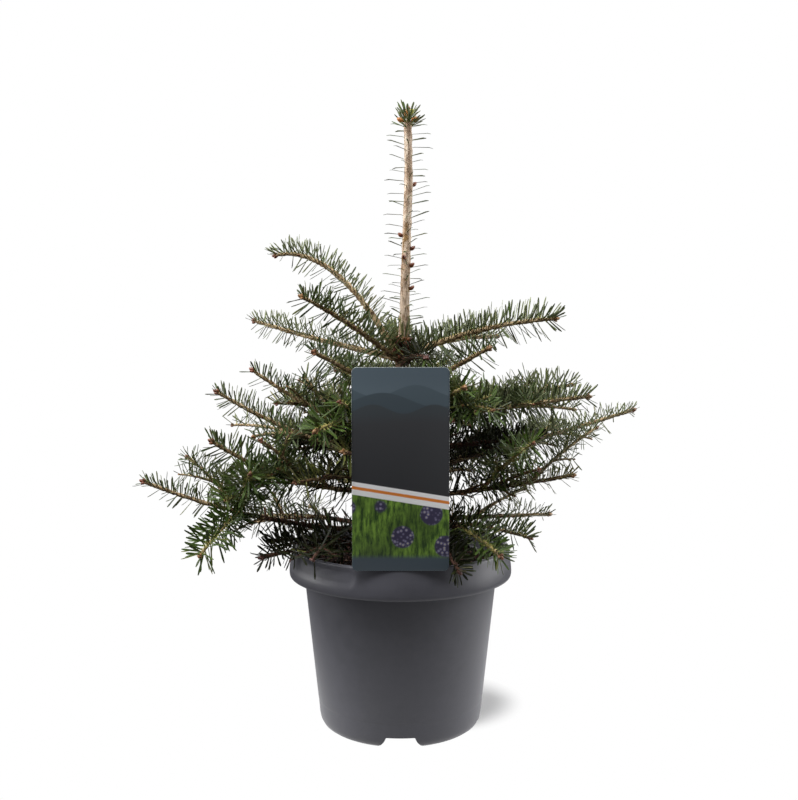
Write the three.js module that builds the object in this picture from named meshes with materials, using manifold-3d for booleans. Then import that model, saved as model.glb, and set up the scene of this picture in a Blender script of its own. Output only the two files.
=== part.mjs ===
// Korean fir: a young tree in its nursery pot, with a plain picture card hooked over the rim.
// Millimetres, +Z up, front towards -Y. The origin is the centre of the pot's flat underside.
import * as THREE from "three";
import { mergeVertices } from "three/addons/utils/BufferGeometryUtils.js";
import Module from "manifold-3d";

const wasm = await Module();
wasm.setup();

const GAP = 0.3; // between neighbouring pieces
const DEGREE = Math.PI / 180;

// Pot: radii and heights
const POT = {
  sides: 36,
  padRadius: 18,
  recess: 10.4,
  floorTop: 12.6,
  ringInside: 52,
  baseRadius: 69.4,
  baseFillet: 9,
  neckRadius: 82.5,
  ledge: 132,
  lipRadius: 95,
  lipBottom: 129.4,
  rimRadius: 90.8,
  height: 155,
  wall: 1.7,
};
const NOTCHES = 3;
const NOTCH = { wide: 38, flare: 29, narrow: 24.4, height: 10.1, corner: 1.2 };
const DRAINS = { count: 4, radius: 5, circle: 36, sides: 8 };

// Soil: its flat middle, where the trunk stands, and the dip round it
const SOIL = { top: 140, middle: 14, dip: 1.4 };

// Card: a thin sheet whose tongue hooks over the rim
const CARD = { width: 75, height: 158, thick: 0.8, corner: 4, bottom: 154, back: -92 };
const TONGUE = { width: 30, bottom: 142 };

// Trunk: heights and radii from the flat cut at the soil to the top
const TRUNK_FOOT = SOIL.top + GAP;
const TRUNK_TOP = 511;
const TRUNK_SIDES = 12;
const TRUNK_STATIONS = [
  [0, 8.6],
  [5, 6.8],
  [14, 6.1],
  [60, 5.6],
  [113, 5.2],
  [150, 4.9],
  [178, 5],
  [186, 4.5],
  [250, 4.1],
  [310, 3.7],
  [362, 3.5],
  [370.7, 3.6],
];
// Heights, and how far the trunk's middle stands to the right there
const LEAN = [
  [TRUNK_FOOT, 0],
  [320, 1.4],
  [345, 3.2],
  [420, 5.3],
  [460, 6.8],
  [TRUNK_TOP, 6.2],
];
const LEADER_NEEDLES = { from: 334, step: 7.2, turn: 137.5, rise: 14 };
const LEADER_BUDS = [
  [456, 20],
  [414, 185],
  [403, 350],
  [395.5, 250],
  [389, 340],
  [370, 350],
];

// Wood and needles
const BOUGH_RADIUS = { foot: 3.0, end: 2.1 };
const SHOOT_RADIUS = { foot: 2.0, end: 1.25 };
const SIDE_RADIUS = { foot: 1.6, end: 1.1 };
const BARE = 0.3; // share of a bough that is bare wood below its mass
const SIDE_BOW = 0.04;
const FORK = 42; // degrees between a bough and the side shoots of an even pair
const BUD = { length: 7, radius: 1.9 };
const NEEDLE = { length: 18.5, width: 3.1, step: 5.6, from: 7, room: 0.95 };
// Each step of a shoot bears a needle to its right and one to its left. These are their rises
// above the shoot's side in degrees, taken in turn.
const NEEDLE_RISES = [12, 52, -12, 34, 70, 4, 60, 24];
const NEEDLE_LEAN = { foot: 60, end: 40, spread: 5 };
const LEAST_FOLD = 3; // degrees between two needles that share an edge

// Boughs: name, height of the foot on the trunk, heading, rise, reach, bow, bare share, and the
// side shoots, each [share of the bough, heading, rise, reach]. Angles are in degrees. A reach is
// measured to the tips of the last needles, which stand past the end of the wood.
const PAST_END = 6;
const evenPair = (share, heading, rise, length) => [
  [share, heading + FORK, rise, length],
  [share + 0.07, heading - FORK, rise, 0.9 * length],
];
const BOUGHS = [
  ["top_left_high", 321, 165, 37, 139, 0.19, 0, []],
  ["top_left_front", 314, 209, 31, 106, 0.03, 0, []],
  ["top_left_back", 314, 149, 11, 161, -0.01, 0, []],
  ["top_right", 317, -6, 14, 132, 0.045, 0, []],
  ["top_right_back", 320, 40, 5, 114, 0.03, 0, []],
  ["top_back", 322, 93, 4, 118, 0.03, 0, []],
  ["top_front", 311, -75, 6, 74, 0.04, 0, []],
  ["spur_left", 277, 223, 27, 105, 0.02, 0, []],
  ["spur_right", 279, -35, 30, 97, 0.025, 0, []],
  ["spur_back_right", 288, 62, 12, 94, 0.04, 0, []],
  ["spur_back_left", 280, 128, 12, 100, 0.04, 0, []],
  ["mid_right", 255, -13, 11, 159, 0.02, BARE,
    [[0.45, 15, -1, 84], [0.38, 48, 15, 66], [0.55, 25, 14, 74]]],
  ["mid_right_front", 247, -61, 28, 110, 0.05, BARE, [[0.45, -68, -6, 48], [0.5, -40, 2, 64]]],
  ["mid_left", 244, 176, 26, 141, -0.05, BARE, [[0.42, 127, 34, 64]]],
  ["mid_left_front", 250, 235, 7, 115, 0.08, BARE, [[0.45, 248, 25, 54]]],
  ["mid_back", 257, 98, 16, 150, 0.04, BARE, evenPair(0.42, 98, 14, 76)],
  ["mid_back_right", 250, 46, 7, 142, 0.04, BARE, evenPair(0.45, 46, 7, 70)],
  ["mid_back_left", 248, 141, 9, 134, 0.04, BARE, evenPair(0.45, 141, 9, 68)],
  ["low_left", 224, 187, 23, 167, -0.045, BARE, [[0.45, 141, 3, 108], [0.5, 233, 6, 69]]],
  ["low_right_back", 216, 19, 12, 230, -0.01, BARE, [[0.5, 58, 4, 80]]],
  ["low_back", 220, 78, 13, 168, 0.03, BARE, evenPair(0.45, 78, 12, 80)],
  ["low_right", 194, 0, 8, 148, -0.01, BARE,
    [[0.74, 27, 32, 88], [0.5, -35, 24, 56], [0.45, -64, 32, 99]]],
  ["low_left_mid", 203, 202, 17, 170, -0.09, BARE, [[0.5, 242, 34, 83], [0.42, 207, 7, 58]]],
  ["low_left_front", 188, 244, 32, 117, 0.1, BARE, [[0.32, 208, 2, 82]]],
  ["low_back_left", 204, 124, 11, 172, 0.03, BARE, evenPair(0.45, 124, 10, 82)],
  ["low_back_right", 197, 55, 9, 158, 0.03, BARE, evenPair(0.45, 55, 9, 76)],
  ["base_left", 166, 189, 13, 220, -0.05, BARE,
    [[0.62, 139, 30, 87], [0.62, 285, 33, 85], [0.62, 250, -18, 77], [0.44, 115, 29, 44]]],
  ["base_right_back", 175, 25, -3, 150, 0, BARE, [[0.45, 17, 25, 60]]],
  ["base_right_front", 170, -49, -3, 117, 0.12, BARE, [[0.4, -18, -6, 80]]],
  ["base_back", 168, 96, 7, 156, 0.03, BARE, evenPair(0.45, 96, 8, 78)],
  ["base_back_left", 163, 146, -1, 160, 0.04, BARE, evenPair(0.45, 146, -2, 76)],
  ["base_left_rim", 157, 209, 0, 127, 0.03, 0, [[0.42, 182, 3, 66], [0.5, 263, 4, 78]]],
  ["base_front_right", 160, -65.5, -3, 108, 0.15, 0, []],
  ["inner_right", 235, 8, 4, 122, 0.01, 0, [[0.4, 50, 8, 62], [0.47, -32, 3, 58]]],
  ["inner_left", 234, 164, 3, 112, 0.01, 0, [[0.42, 124, 6, 60], [0.47, 208, -4, 58]]],
];
const TUFT = { needles: 11, length: 14, height: 9, rise: 40 };

const paint = (color, roughness) =>
  new THREE.MeshStandardMaterial({ color, roughness, metalness: 0 });
const FINISH = {
  pot: paint(0x47484d, 0.5),
  soil: paint(0x33241c, 0.95),
  bark: paint(0x9c8266, 0.85),
  needles: paint(0x3f5a3c, 0.6),
  card: paint(0x4b565f, 0.35),
};

const fir = new THREE.Group();

// --- solids ---------------------------------------------------------------------------------

function solid(geometry) {
  const bare = new THREE.BufferGeometry();
  bare.setAttribute("position", geometry.getAttribute("position"));
  bare.setIndex(geometry.index);
  const merged = mergeVertices(bare, 1e-3);
  return new wasm.Manifold(
    new wasm.Mesh({
      numProp: 3,
      vertProperties: merged.getAttribute("position").array,
      triVerts: new Uint32Array(merged.index.array),
    }),
  );
}

function addNode(name, shape, finish) {
  const mesh = shape.getMesh();
  const geometry = new THREE.BufferGeometry();
  geometry.setAttribute("position", new THREE.BufferAttribute(mesh.vertProperties, 3));
  geometry.setIndex(new THREE.BufferAttribute(mesh.triVerts, 1));
  geometry.computeVertexNormals();
  const node = new THREE.Mesh(geometry, finish);
  node.name = name;
  fir.add(node);
}

// Joins solids, keeps the largest body and drops the slivers that a join leaves.
function join(solids) {
  const bodies = wasm.Manifold.union(solids).simplify(0.012).decompose();
  bodies.sort((a, b) => b.volume() - a.volume());
  return bodies[0];
}

// --- growth rule ----------------------------------------------------------------------------

// Park-Miller generator: the same seed always gives the same run of numbers.
function seeded(seed) {
  let state = seed;
  return () => {
    state = (state * 16807) % 2147483647;
    return state / 2147483647;
  };
}

const up = new THREE.Vector3(0, 0, 1);

function direction(heading, rise) {
  return new THREE.Vector3(
    Math.cos(heading * DEGREE) * Math.cos(rise * DEGREE),
    Math.sin(heading * DEGREE) * Math.cos(rise * DEGREE),
    Math.sin(rise * DEGREE),
  );
}

// Right-hand and upward directions across a limb.
function across(forward) {
  const reference = Math.abs(forward.z) > 0.95 ? new THREE.Vector3(0, -1, 0) : up;
  const right = new THREE.Vector3().crossVectors(forward, reference).normalize();
  return { right, top: new THREE.Vector3().crossVectors(right, forward) };
}

// The value at a place in a table of [place, value], straight between its rows.
function between(table, at) {
  const found = table.findIndex(([place]) => place >= at);
  const next = found < 0 ? table.length - 1 : Math.max(1, found);
  const [a, low] = table[next - 1];
  const [b, high] = table[next];
  return low + ((high - low) * (at - a)) / (b - a);
}

const trunkAxis = (z) => new THREE.Vector3(between(LEAN, z), 0, z);
const trunkRadius = (z) => between(TRUNK_STATIONS, z - TRUNK_FOOT);

// A limb's middle line: straight from foot along its heading and rise, bowed upwards by bow.
class Limb {
  constructor(foot, heading, rise, length, bow) {
    this.foot = foot;
    this.forward = direction(heading, rise);
    this.length = length;
    this.bow = bow;
  }
  at(share) {
    const lift = 4 * this.bow * this.length * share * (1 - share);
    return this.foot
      .clone()
      .addScaledVector(this.forward, this.length * share)
      .addScaledVector(up, lift);
  }
  heading(share) {
    return this.at(share + 0.01).sub(this.at(share - 0.01)).normalize();
  }
}

// A tapering stick along a limb: stations are [share, radius], and a last radius of 0 is a point.
function stick(limb, stations, sides) {
  const steps = stations.length - 1;
  const pointed = stations[steps][1] === 0;
  const shape = new THREE.CylinderGeometry(pointed ? 0 : 1, 1, 1, sides, steps);
  const position = shape.getAttribute("position");
  for (let i = 0; i < position.count; i += 1) {
    const row = Math.round((position.getY(i) + 0.5) * steps);
    const [share, radius] = stations[row];
    const rim = Math.hypot(position.getX(i), position.getZ(i)) > 1e-6 ? radius : 0;
    const turn = Math.atan2(position.getX(i), position.getZ(i));
    const { right, top } = across(limb.heading(share));
    const point = limb
      .at(share)
      .addScaledVector(right, rim * Math.sin(turn))
      .addScaledVector(top, rim * Math.cos(turn));
    position.setXYZ(i, point.x, point.y, point.z);
  }
  return solid(shape);
}

// A three-sided flat needle from root along forward, its broad side across `side`.
function needle(root, forward, side, length, width, thick) {
  const shape = new THREE.ConeGeometry(1, 1, 3);
  shape.scale(width / Math.sqrt(3), length, thick / 1.5);
  shape.translate(0, length / 2, 0);
  const broad = side.clone().addScaledVector(forward, -side.dot(forward)).normalize();
  const flat = new THREE.Vector3().crossVectors(broad, forward);
  shape.applyMatrix4(new THREE.Matrix4().makeBasis(broad, forward, flat).setPosition(root));
  return solid(shape);
}

// --- room: what has been placed, as capsules -------------------------------------------------

const CHAIN = 6;
const placed = [];

function segmentGap(a, b, c, d) {
  const u = b.clone().sub(a);
  const v = d.clone().sub(c);
  const w = a.clone().sub(c);
  const uu = u.dot(u);
  const uv = u.dot(v);
  const vv = v.dot(v);
  const uw = u.dot(w);
  const vw = v.dot(w);
  const spread = uu * vv - uv * uv;
  let s = spread > 1e-9 ? THREE.MathUtils.clamp((uv * vw - vv * uw) / spread, 0, 1) : 0;
  const t = THREE.MathUtils.clamp((uv * s + vw) / vv, 0, 1);
  s = THREE.MathUtils.clamp((uv * t - uw) / uu, 0, 1);
  return w.addScaledVector(u, s).addScaledVector(v, -t).length();
}

function touches(from, to, radius, skip) {
  return placed.some(
    (other) =>
      other.owner !== skip &&
      segmentGap(from, to, other.from, other.to) < radius + other.radius + GAP,
  );
}

// A point in the pot's wall, in the soil or at the card has no room for wood or needles.
function blocked(point) {
  const radius = Math.hypot(point.x, point.y);
  const inPot = point.z < POT.height + 1.5 && radius < POT.lipRadius + 2;
  const overSoil = point.z > SOIL.top + 1.5 && radius < POT.rimRadius - 5;
  const besideCard =
    Math.abs(point.x) < CARD.width / 2 + 2 && point.y < CARD.back + 3;
  const cardHigh = point.z < CARD.bottom + CARD.height + 3;
  const atTongue = Math.abs(point.x) < TONGUE.width / 2 + 2 && point.y < TONGUE_FRONT + 4;
  const tongueHigh = point.z < POT.height + 4;
  return (inPot && !overSoil) || (besideCard && cardHigh) || (atTongue && tongueHigh);
}

function isClear(from, to, radius, skip) {
  for (let share = 0; share <= 1; share += 0.2) {
    if (blocked(from.clone().lerp(to, share))) return false;
  }
  return !touches(from, to, radius, skip);
}

// A limb as a chain of short straight lengths, from share first to share last.
function lengthsOf(limb, first, last) {
  const chain = [];
  for (let i = 0; i < CHAIN; i += 1) {
    const from = limb.at(first + ((last - first) * i) / CHAIN);
    const to = limb.at(first + ((last - first) * (i + 1)) / CHAIN);
    chain.push({ from, to });
  }
  return chain;
}

function place(limb, first, last, radius, owner) {
  for (const { from, to } of lengthsOf(limb, first, last)) placed.push({ from, to, radius, owner });
}

function limbIsClear(limb, first, radius, owner) {
  return lengthsOf(limb, first, 1).every(({ from, to }) => isClear(from, to, radius, owner));
}

// --- pot, soil and card ----------------------------------------------------------------------

function turned(profile, sides) {
  const points = profile.map(([r, z]) => new THREE.Vector2(r, z));
  return solid(new THREE.LatheGeometry(points, sides).rotateX(Math.PI / 2));
}

function arc(r, z, radius, from, to, steps) {
  const points = [];
  for (let i = 0; i <= steps; i += 1) {
    const angle = (from + ((to - from) * i) / steps) * DEGREE;
    points.push([r + radius * Math.cos(angle), z + radius * Math.sin(angle)]);
  }
  return points;
}

const MOUTH_RADIUS = POT.rimRadius - POT.wall - 1.6;
const INSIDE = [
  [MOUTH_RADIUS + 0.5, POT.height - 1.2],
  [MOUTH_RADIUS, POT.ledge + 6],
  [POT.neckRadius - POT.wall - 0.4, POT.ledge - 2],
  [POT.baseRadius - POT.wall - 1.2, POT.floorTop + 2],
  [POT.baseRadius - POT.wall - 3.4, POT.floorTop],
];
// The tongue is flat, so it lies where its corners just clear the round wall.
const mouthFlat = MOUTH_RADIUS * Math.cos(Math.PI / POT.sides);
const TONGUE_FRONT = GAP - Math.sqrt(mouthFlat ** 2 - (TONGUE.width / 2) ** 2);

function pot() {
  const filletCentre = POT.baseRadius - POT.baseFillet;
  const lipCentre = POT.lipRadius - 2.4;
  const body = turned(
    [
      [0, 0],
      [POT.padRadius, 0],
      [POT.padRadius + 2, POT.recess],
      [POT.ringInside - 1.5, POT.recess],
      [POT.ringInside, 0],
      ...arc(filletCentre, POT.baseFillet, POT.baseFillet, -90, -4, 3),
      [POT.neckRadius, POT.ledge],
      [lipCentre - 3.4, POT.ledge],
      ...arc(lipCentre, POT.lipBottom + 2.4, 2.4, -90, 0, 2),
      [POT.lipRadius - 0.2, 138],
      [POT.rimRadius + 2.2, 148],
      [POT.rimRadius + 0.9, POT.height - 1.6],
      [POT.rimRadius - 0.6, POT.height],
      [POT.rimRadius - POT.wall - 0.5, POT.height],
      ...INSIDE,
      [0, POT.floorTop],
    ],
    POT.sides,
  );
  const cutters = [];
  for (let i = 0; i < NOTCHES; i += 1) {
    const outline = new THREE.Shape();
    const top = NOTCH.narrow / 2;
    const bend = [NOTCH.flare / 2, NOTCH.height / 4];
    outline.moveTo(-NOTCH.wide / 2, -1);
    outline.lineTo(NOTCH.wide / 2, -1);
    outline.quadraticCurveTo(...bend, top, NOTCH.height - NOTCH.corner);
    outline.quadraticCurveTo(top, NOTCH.height, top - NOTCH.corner, NOTCH.height);
    outline.lineTo(NOTCH.corner - top, NOTCH.height);
    outline.quadraticCurveTo(-top, NOTCH.height, -top, NOTCH.height - NOTCH.corner);
    outline.quadraticCurveTo(-bend[0], bend[1], -NOTCH.wide / 2, -1);
    const bar = new THREE.ExtrudeGeometry(outline, {
      depth: 30,
      bevelEnabled: false,
      curveSegments: 3,
    });
    bar.rotateX(Math.PI / 2);
    bar.translate(0, -POT.ringInside + 4, 0);
    bar.rotateZ((i * 2 * Math.PI) / NOTCHES);
    cutters.push(solid(bar));
  }
  for (let i = 0; i < DRAINS.count; i += 1) {
    const angle = ((i + 0.5) * 2 * Math.PI) / DRAINS.count;
    const bore = new THREE.CylinderGeometry(DRAINS.radius, DRAINS.radius, 20, DRAINS.sides);
    bore.rotateX(Math.PI / 2);
    bore.translate(DRAINS.circle * Math.cos(angle), DRAINS.circle * Math.sin(angle), 8);
    cutters.push(solid(bore));
  }
  return body.subtract(wasm.Manifold.union(cutters)).simplify(0.01);
}

function soil() {
  const [, , ...wallBelow] = INSIDE;
  const side = wallBelow.map(([r, z]) => [r - GAP - 0.1, z + GAP]).reverse();
  const edge = MOUTH_RADIUS - GAP - 0.1;
  return turned(
    [
      [0, POT.floorTop + GAP],
      ...side,
      [edge, POT.ledge + 6 + GAP],
      [edge - 1.5, SOIL.top - 0.6],
      [edge - 20, SOIL.top - SOIL.dip],
      [SOIL.middle * 2.4, SOIL.top - SOIL.dip / 2],
      [SOIL.middle, SOIL.top],
      [0, SOIL.top],
    ],
    POT.sides,
  );
}

function box(x, y, z, low) {
  const [left, front, bottom] = low;
  const block = new THREE.BoxGeometry(x, y, z);
  return solid(block.translate(left + x / 2, front + y / 2, bottom + z / 2));
}

function card() {
  const half = CARD.width / 2;
  const { corner, height, thick } = CARD;
  const outline = new THREE.Shape();
  outline.moveTo(corner - half, 0);
  outline.lineTo(half - corner, 0);
  outline.absarc(half - corner, corner, corner, -Math.PI / 2, 0);
  outline.absarc(half - corner, height - corner, corner, 0, Math.PI / 2);
  outline.absarc(corner - half, height - corner, corner, Math.PI / 2, Math.PI);
  outline.absarc(corner - half, corner, corner, Math.PI, 1.5 * Math.PI);
  const sheet = new THREE.ExtrudeGeometry(outline, {
    depth: thick,
    bevelEnabled: false,
    curveSegments: 4,
  });
  sheet.rotateX(Math.PI / 2);
  sheet.translate(0, CARD.back, CARD.bottom);
  const over = POT.height + GAP;
  const reach = TONGUE_FRONT + thick - CARD.back;
  const bridge = box(TONGUE.width, reach + 0.4, thick, [-TONGUE.width / 2, CARD.back - 0.4, over]);
  const leg = box(TONGUE.width, thick, over + thick - TONGUE.bottom, [
    -TONGUE.width / 2,
    TONGUE_FRONT,
    TONGUE.bottom,
  ]);
  return join([solid(sheet), bridge, leg]);
}

// --- trunk, boughs and masses ----------------------------------------------------------------

const trunkLine = {
  at: (share) => trunkAxis(TRUNK_FOOT + share * (TRUNK_TOP - TRUNK_FOOT)),
  heading: () => up,
};

function placeTrunk() {
  for (let i = 0; i < 2 * CHAIN; i += 1) {
    const from = trunkLine.at(i / (2 * CHAIN));
    const to = trunkLine.at((i + 1) / (2 * CHAIN));
    placed.push({ from, to, radius: trunkRadius(from.z + 1), owner: "trunk" });
  }
}

function leaderNeedles() {
  const random = seeded(11);
  const roots = [];
  for (let i = 0; LEADER_NEEDLES.from + i * LEADER_NEEDLES.step < TRUNK_TOP - 4; i += 1) {
    const heading = i * LEADER_NEEDLES.turn + 20 * (random() - 0.5);
    const rise = LEADER_NEEDLES.rise + 16 * (random() - 0.5);
    const root = trunkAxis(LEADER_NEEDLES.from + i * LEADER_NEEDLES.step);
    roots.push({ root, forward: direction(heading, rise), length: 19 + 3 * random() });
  }
  return roots;
}

function trunk() {
  const length = TRUNK_TOP - TRUNK_FOOT;
  const stations = TRUNK_STATIONS.map(([at, radius]) => [at / length, radius]);
  const pieces = [stick(trunkLine, stations, TRUNK_SIDES)];
  for (const { root, forward, length: reach } of leaderNeedles()) {
    pieces.push(needle(root, forward, up, reach, NEEDLE.width, 2));
    const from = root.clone().addScaledVector(forward, reach * 0.3);
    const to = root.clone().addScaledVector(forward, reach);
    placed.push({ from, to, radius: NEEDLE.room, owner: "trunk" });
  }
  for (const [height, heading] of LEADER_BUDS) {
    const bud = new Limb(trunkAxis(height), heading, 38, 9.5, 0);
    pieces.push(stick(bud, [[0, 2.2], [0.7, 2.3], [1, 0]], 4));
  }
  return join(pieces);
}

// Where a limb leaves the trunk: its cut end, square to its slope there, is GAP clear of the bark.
function footOnTrunk(height, heading, rise, bow, radius) {
  const slope = rise * DEGREE + Math.atan(4 * bow);
  const away = trunkRadius(height) + GAP + radius * Math.abs(Math.sin(slope));
  const outward = direction(heading, 0).multiplyScalar(away);
  return trunkAxis(height).add(outward);
}

// One needle of a shoot: its tip, or null where it would have no room.
function needleTip(limb, share, along, turn, random) {
  const slack = NEEDLE_LEAN.spread * (random() - 0.5);
  const lean = NEEDLE_LEAN.foot + (NEEDLE_LEAN.end - NEEDLE_LEAN.foot) * along ** 2 + slack;
  const length = NEEDLE.length * (0.9 + 0.2 * random()) * (1 - 0.18 * along ** 3);
  const forward = limb.heading(share);
  const { right, top } = across(forward);
  const aside = right
    .multiplyScalar(Math.cos(turn * DEGREE))
    .addScaledVector(top, Math.sin(turn * DEGREE));
  const aim = aside
    .multiplyScalar(Math.sin(lean * DEGREE))
    .addScaledVector(forward, Math.cos(lean * DEGREE));
  const root = limb.at(share);
  const outside = root.clone().addScaledVector(aim, 0.3 * length);
  const tip = root.clone().addScaledVector(aim, length);
  if (!isClear(outside, tip, NEEDLE.room, limb)) return null;
  placed.push({ from: outside, to: tip, radius: NEEDLE.room, owner: "needle" });
  return tip;
}

// How steeply a point stands over the edge from a to b of a face, against the way forward.
function steepness(a, b, point, forward, outward) {
  const edge = b.clone().sub(a).normalize();
  const arm = point.clone().sub(a);
  arm.addScaledVector(edge, -arm.dot(edge));
  return Math.atan2(arm.dot(outward), arm.dot(forward)) / DEGREE;
}

// A three-sided twig, one edge up, whose side faces are drawn out into needles. Each needle is a
// spike that stands on the whole of its stretch of the face, so it is one piece with the twig.
function needledShoot(limb, first, radius, random) {
  const from = first + NEEDLE.from / limb.length;
  const to = 1 - BUD.length / limb.length;
  const count = Math.max(3, Math.round(((to - from) * limb.length) / NEEDLE.step));
  const stations = [[first, radius.foot]];
  for (let i = 0; i <= count; i += 1) {
    const along = i / count;
    stations.push([from + (to - from) * along, radius.foot + (radius.end - radius.foot) * along]);
  }
  stations.push([(1 + to) / 2, BUD.radius]);
  const rings = stations.map(([share, size]) => {
    const { right, top } = across(limb.heading(share));
    return [0, 120, 240].map((turn) =>
      limb
        .at(share)
        .addScaledVector(right, size * Math.sin(turn * DEGREE))
        .addScaledVector(top, size * Math.cos(turn * DEGREE)),
    );
  });
  const triangles = [[rings[0][0], rings[0][2], rings[0][1]]];
  const last = [null, null, null];
  for (let i = 0; i + 1 < rings.length; i += 1) {
    for (let face = 0; face < 3; face += 1) {
      const next = (face + 1) % 3;
      const corners = [rings[i][face], rings[i][next], rings[i + 1][next], rings[i + 1][face]];
      const [a, b, c, d] = corners;
      const bearing = i >= 1 && i <= count && face !== 1;
      let tip = null;
      if (bearing) {
        const rise = NEEDLE_RISES[(i + 3 * face) % NEEDLE_RISES.length] + 12 * (random() - 0.5);
        const turn = face === 0 ? rise : 180 - rise;
        const share = (stations[i][0] + stations[i + 1][0]) / 2;
        tip = needleTip(limb, share, (i - 0.5) / count, turn, random);
      }
      if (tip && last[face]) {
        const forward = limb.heading(stations[i][0]);
        const outward = new THREE.Vector3().crossVectors(b.clone().sub(a), forward).normalize();
        const before = steepness(a, b, last[face], forward, outward);
        if (before < steepness(a, b, tip, forward, outward) + LEAST_FOLD) tip = null;
      }
      last[face] = tip;
      if (tip) triangles.push([a, b, tip], [b, c, tip], [c, d, tip], [d, a, tip]);
      else triangles.push([a, b, c], [a, c, d]);
    }
  }
  const end = limb.at(1);
  const [a, b, c] = rings[rings.length - 1];
  triangles.push([a, b, end], [b, c, end], [c, a, end]);
  return solid(new THREE.BufferGeometry().setFromPoints(triangles.flat()));
}

// The wood of every bough is placed before any needle, so that needles keep clear of all of it.
function layOut([name, height, heading, rise, reach, bow, bare, sideShoots], index) {
  const radius = bare > 0 ? BOUGH_RADIUS.foot : SHOOT_RADIUS.foot;
  const foot = footOnTrunk(height, heading, rise, bow, radius);
  const main = new Limb(foot, heading, rise, reach - PAST_END, bow);
  const first = bare > 0 ? bare + GAP / main.length : 0;
  place(main, 0, Math.max(bare, 0.001), radius, main);
  place(main, first, 1, SHOOT_RADIUS.foot, main);
  const sides = [];
  for (const [share, sideHeading, sideRise, sideReach] of sideShoots) {
    const side = new Limb(main.at(share), sideHeading, sideRise, sideReach - PAST_END, SIDE_BOW);
    if (limbIsClear(side, 0.12, SIDE_RADIUS.foot, main)) sides.push(side);
  }
  for (const side of sides) place(side, 0.1, 1, SIDE_RADIUS.foot, side);
  return { name, main, first, bare, sides, random: seeded(101 + 17 * index) };
}

function bough({ main, bare }) {
  const { foot, end } = BOUGH_RADIUS;
  const stations = [
    [0, foot],
    [bare * 0.12, foot * 0.88],
    [bare * 0.5, (foot * 0.88 + end) / 2],
    [bare, end],
  ];
  return stick(main, stations, 6);
}

function mass({ main, first, sides, random }) {
  const pieces = [needledShoot(main, first, SHOOT_RADIUS, random)];
  for (const side of sides) pieces.push(needledShoot(side, 0, SIDE_RADIUS, random));
  return join(pieces);
}

function tuft() {
  const random = seeded(7);
  const foot = trunkAxis(TRUNK_TOP).addScaledVector(up, GAP);
  const stem = {
    at: (share) => foot.clone().addScaledVector(up, share * TUFT.height),
    heading: () => up,
  };
  const pieces = [stick(stem, [[0, 3.2], [0.45, 3.6], [1, 0]], 6)];
  for (let i = 0; i < TUFT.needles; i += 1) {
    const heading = i * LEADER_NEEDLES.turn;
    const rise = TUFT.rise * (0.35 + 0.9 * random());
    const root = stem.at(0.25 + 0.3 * random());
    const length = TUFT.length * (0.9 + 0.35 * random());
    pieces.push(needle(root, direction(heading, rise), up, length, NEEDLE.width, 1.6));
  }
  return join(pieces);
}

addNode("pot", pot(), FINISH.pot);
addNode("soil", soil(), FINISH.soil);
addNode("care_card", card(), FINISH.card);
placeTrunk();
addNode("trunk", trunk(), FINISH.bark);
addNode("leader_tuft", tuft(), FINISH.needles);
const laidOut = BOUGHS.map(layOut);
for (const plan of laidOut) {
  if (plan.bare > 0) addNode(`bough_${plan.name}`, bough(plan), FINISH.bark);
  addNode(`mass_${plan.name}`, mass(plan), FINISH.needles);
}

export default fir;
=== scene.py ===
import math

import bmesh
import bpy
import numpy as np
from mathutils import Matrix, Vector, noise


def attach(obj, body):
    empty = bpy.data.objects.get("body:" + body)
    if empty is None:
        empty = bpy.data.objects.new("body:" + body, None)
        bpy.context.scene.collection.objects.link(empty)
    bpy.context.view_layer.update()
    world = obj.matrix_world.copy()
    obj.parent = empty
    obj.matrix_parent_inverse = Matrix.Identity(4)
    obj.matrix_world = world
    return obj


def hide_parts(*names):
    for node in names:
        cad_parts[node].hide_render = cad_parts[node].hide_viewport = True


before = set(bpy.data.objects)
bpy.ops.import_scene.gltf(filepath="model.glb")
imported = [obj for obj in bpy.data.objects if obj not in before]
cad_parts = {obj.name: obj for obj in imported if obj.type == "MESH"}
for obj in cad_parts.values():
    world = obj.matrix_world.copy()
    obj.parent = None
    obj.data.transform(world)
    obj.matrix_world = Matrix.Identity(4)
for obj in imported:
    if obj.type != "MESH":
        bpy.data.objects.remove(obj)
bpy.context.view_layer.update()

# A korean fir in its nursery pot. Lengths are millimetres until a mesh or a light is made, and
# angles are degrees. Up is +Z and the front is -Y.
MM = 0.001
GOLDEN = 137.5
UP = np.array([0.0, 0.0, 1.0])

# Where the random draws of each kind start.
SEEDS = {
    "crumbs": 3, "fallen": 8, "buds": 9, "twigs": 21, "needles": 40, "leader": 77, "boughs": 500,
}

# --- driving sizes ---

GAP = 0.3
POT = {
    "pad_radius": 18,
    "recess": 10.4,
    "floor_top": 12.6,
    "ring_inside": 52,
    "base_radius": 69.4,
    "base_fillet": 9,
    "neck_radius": 82.5,
    "ledge": 132,
    "lip_radius": 95,
    "lip_bottom": 129.4,
    "rim_radius": 90.8,
    "height": 155,
    "mouth_radius": 87.5,
}
POT_SEGMENTS = 256
POT_STEP = 3  # the longest stretch of its outline between two points
NOTCHES = 3
PAST_WALL = 20  # how far the notches' cutters start outside the foot
NOTCH = {"wide": 41, "flare": 29.5, "narrow": 24.4, "height": 10.1, "corner": 1.2}
DRAINS = {"count": 4, "radius": 5, "circle": 36, "low": -2, "high": 18}
# A shallow moulded field in the rim: its middle and half width round the pot in degrees, its low
# and top edge, the roundness of its corners, and its depth.
FIELD = {"middle": -52, "half": 29, "bottom": 138.5, "top": 152.2, "corner": 6, "depth": 0.9}
FIELD_EDGE = (-1.6, 0.8)  # its soft edge, from inside its outline to outside

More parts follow.
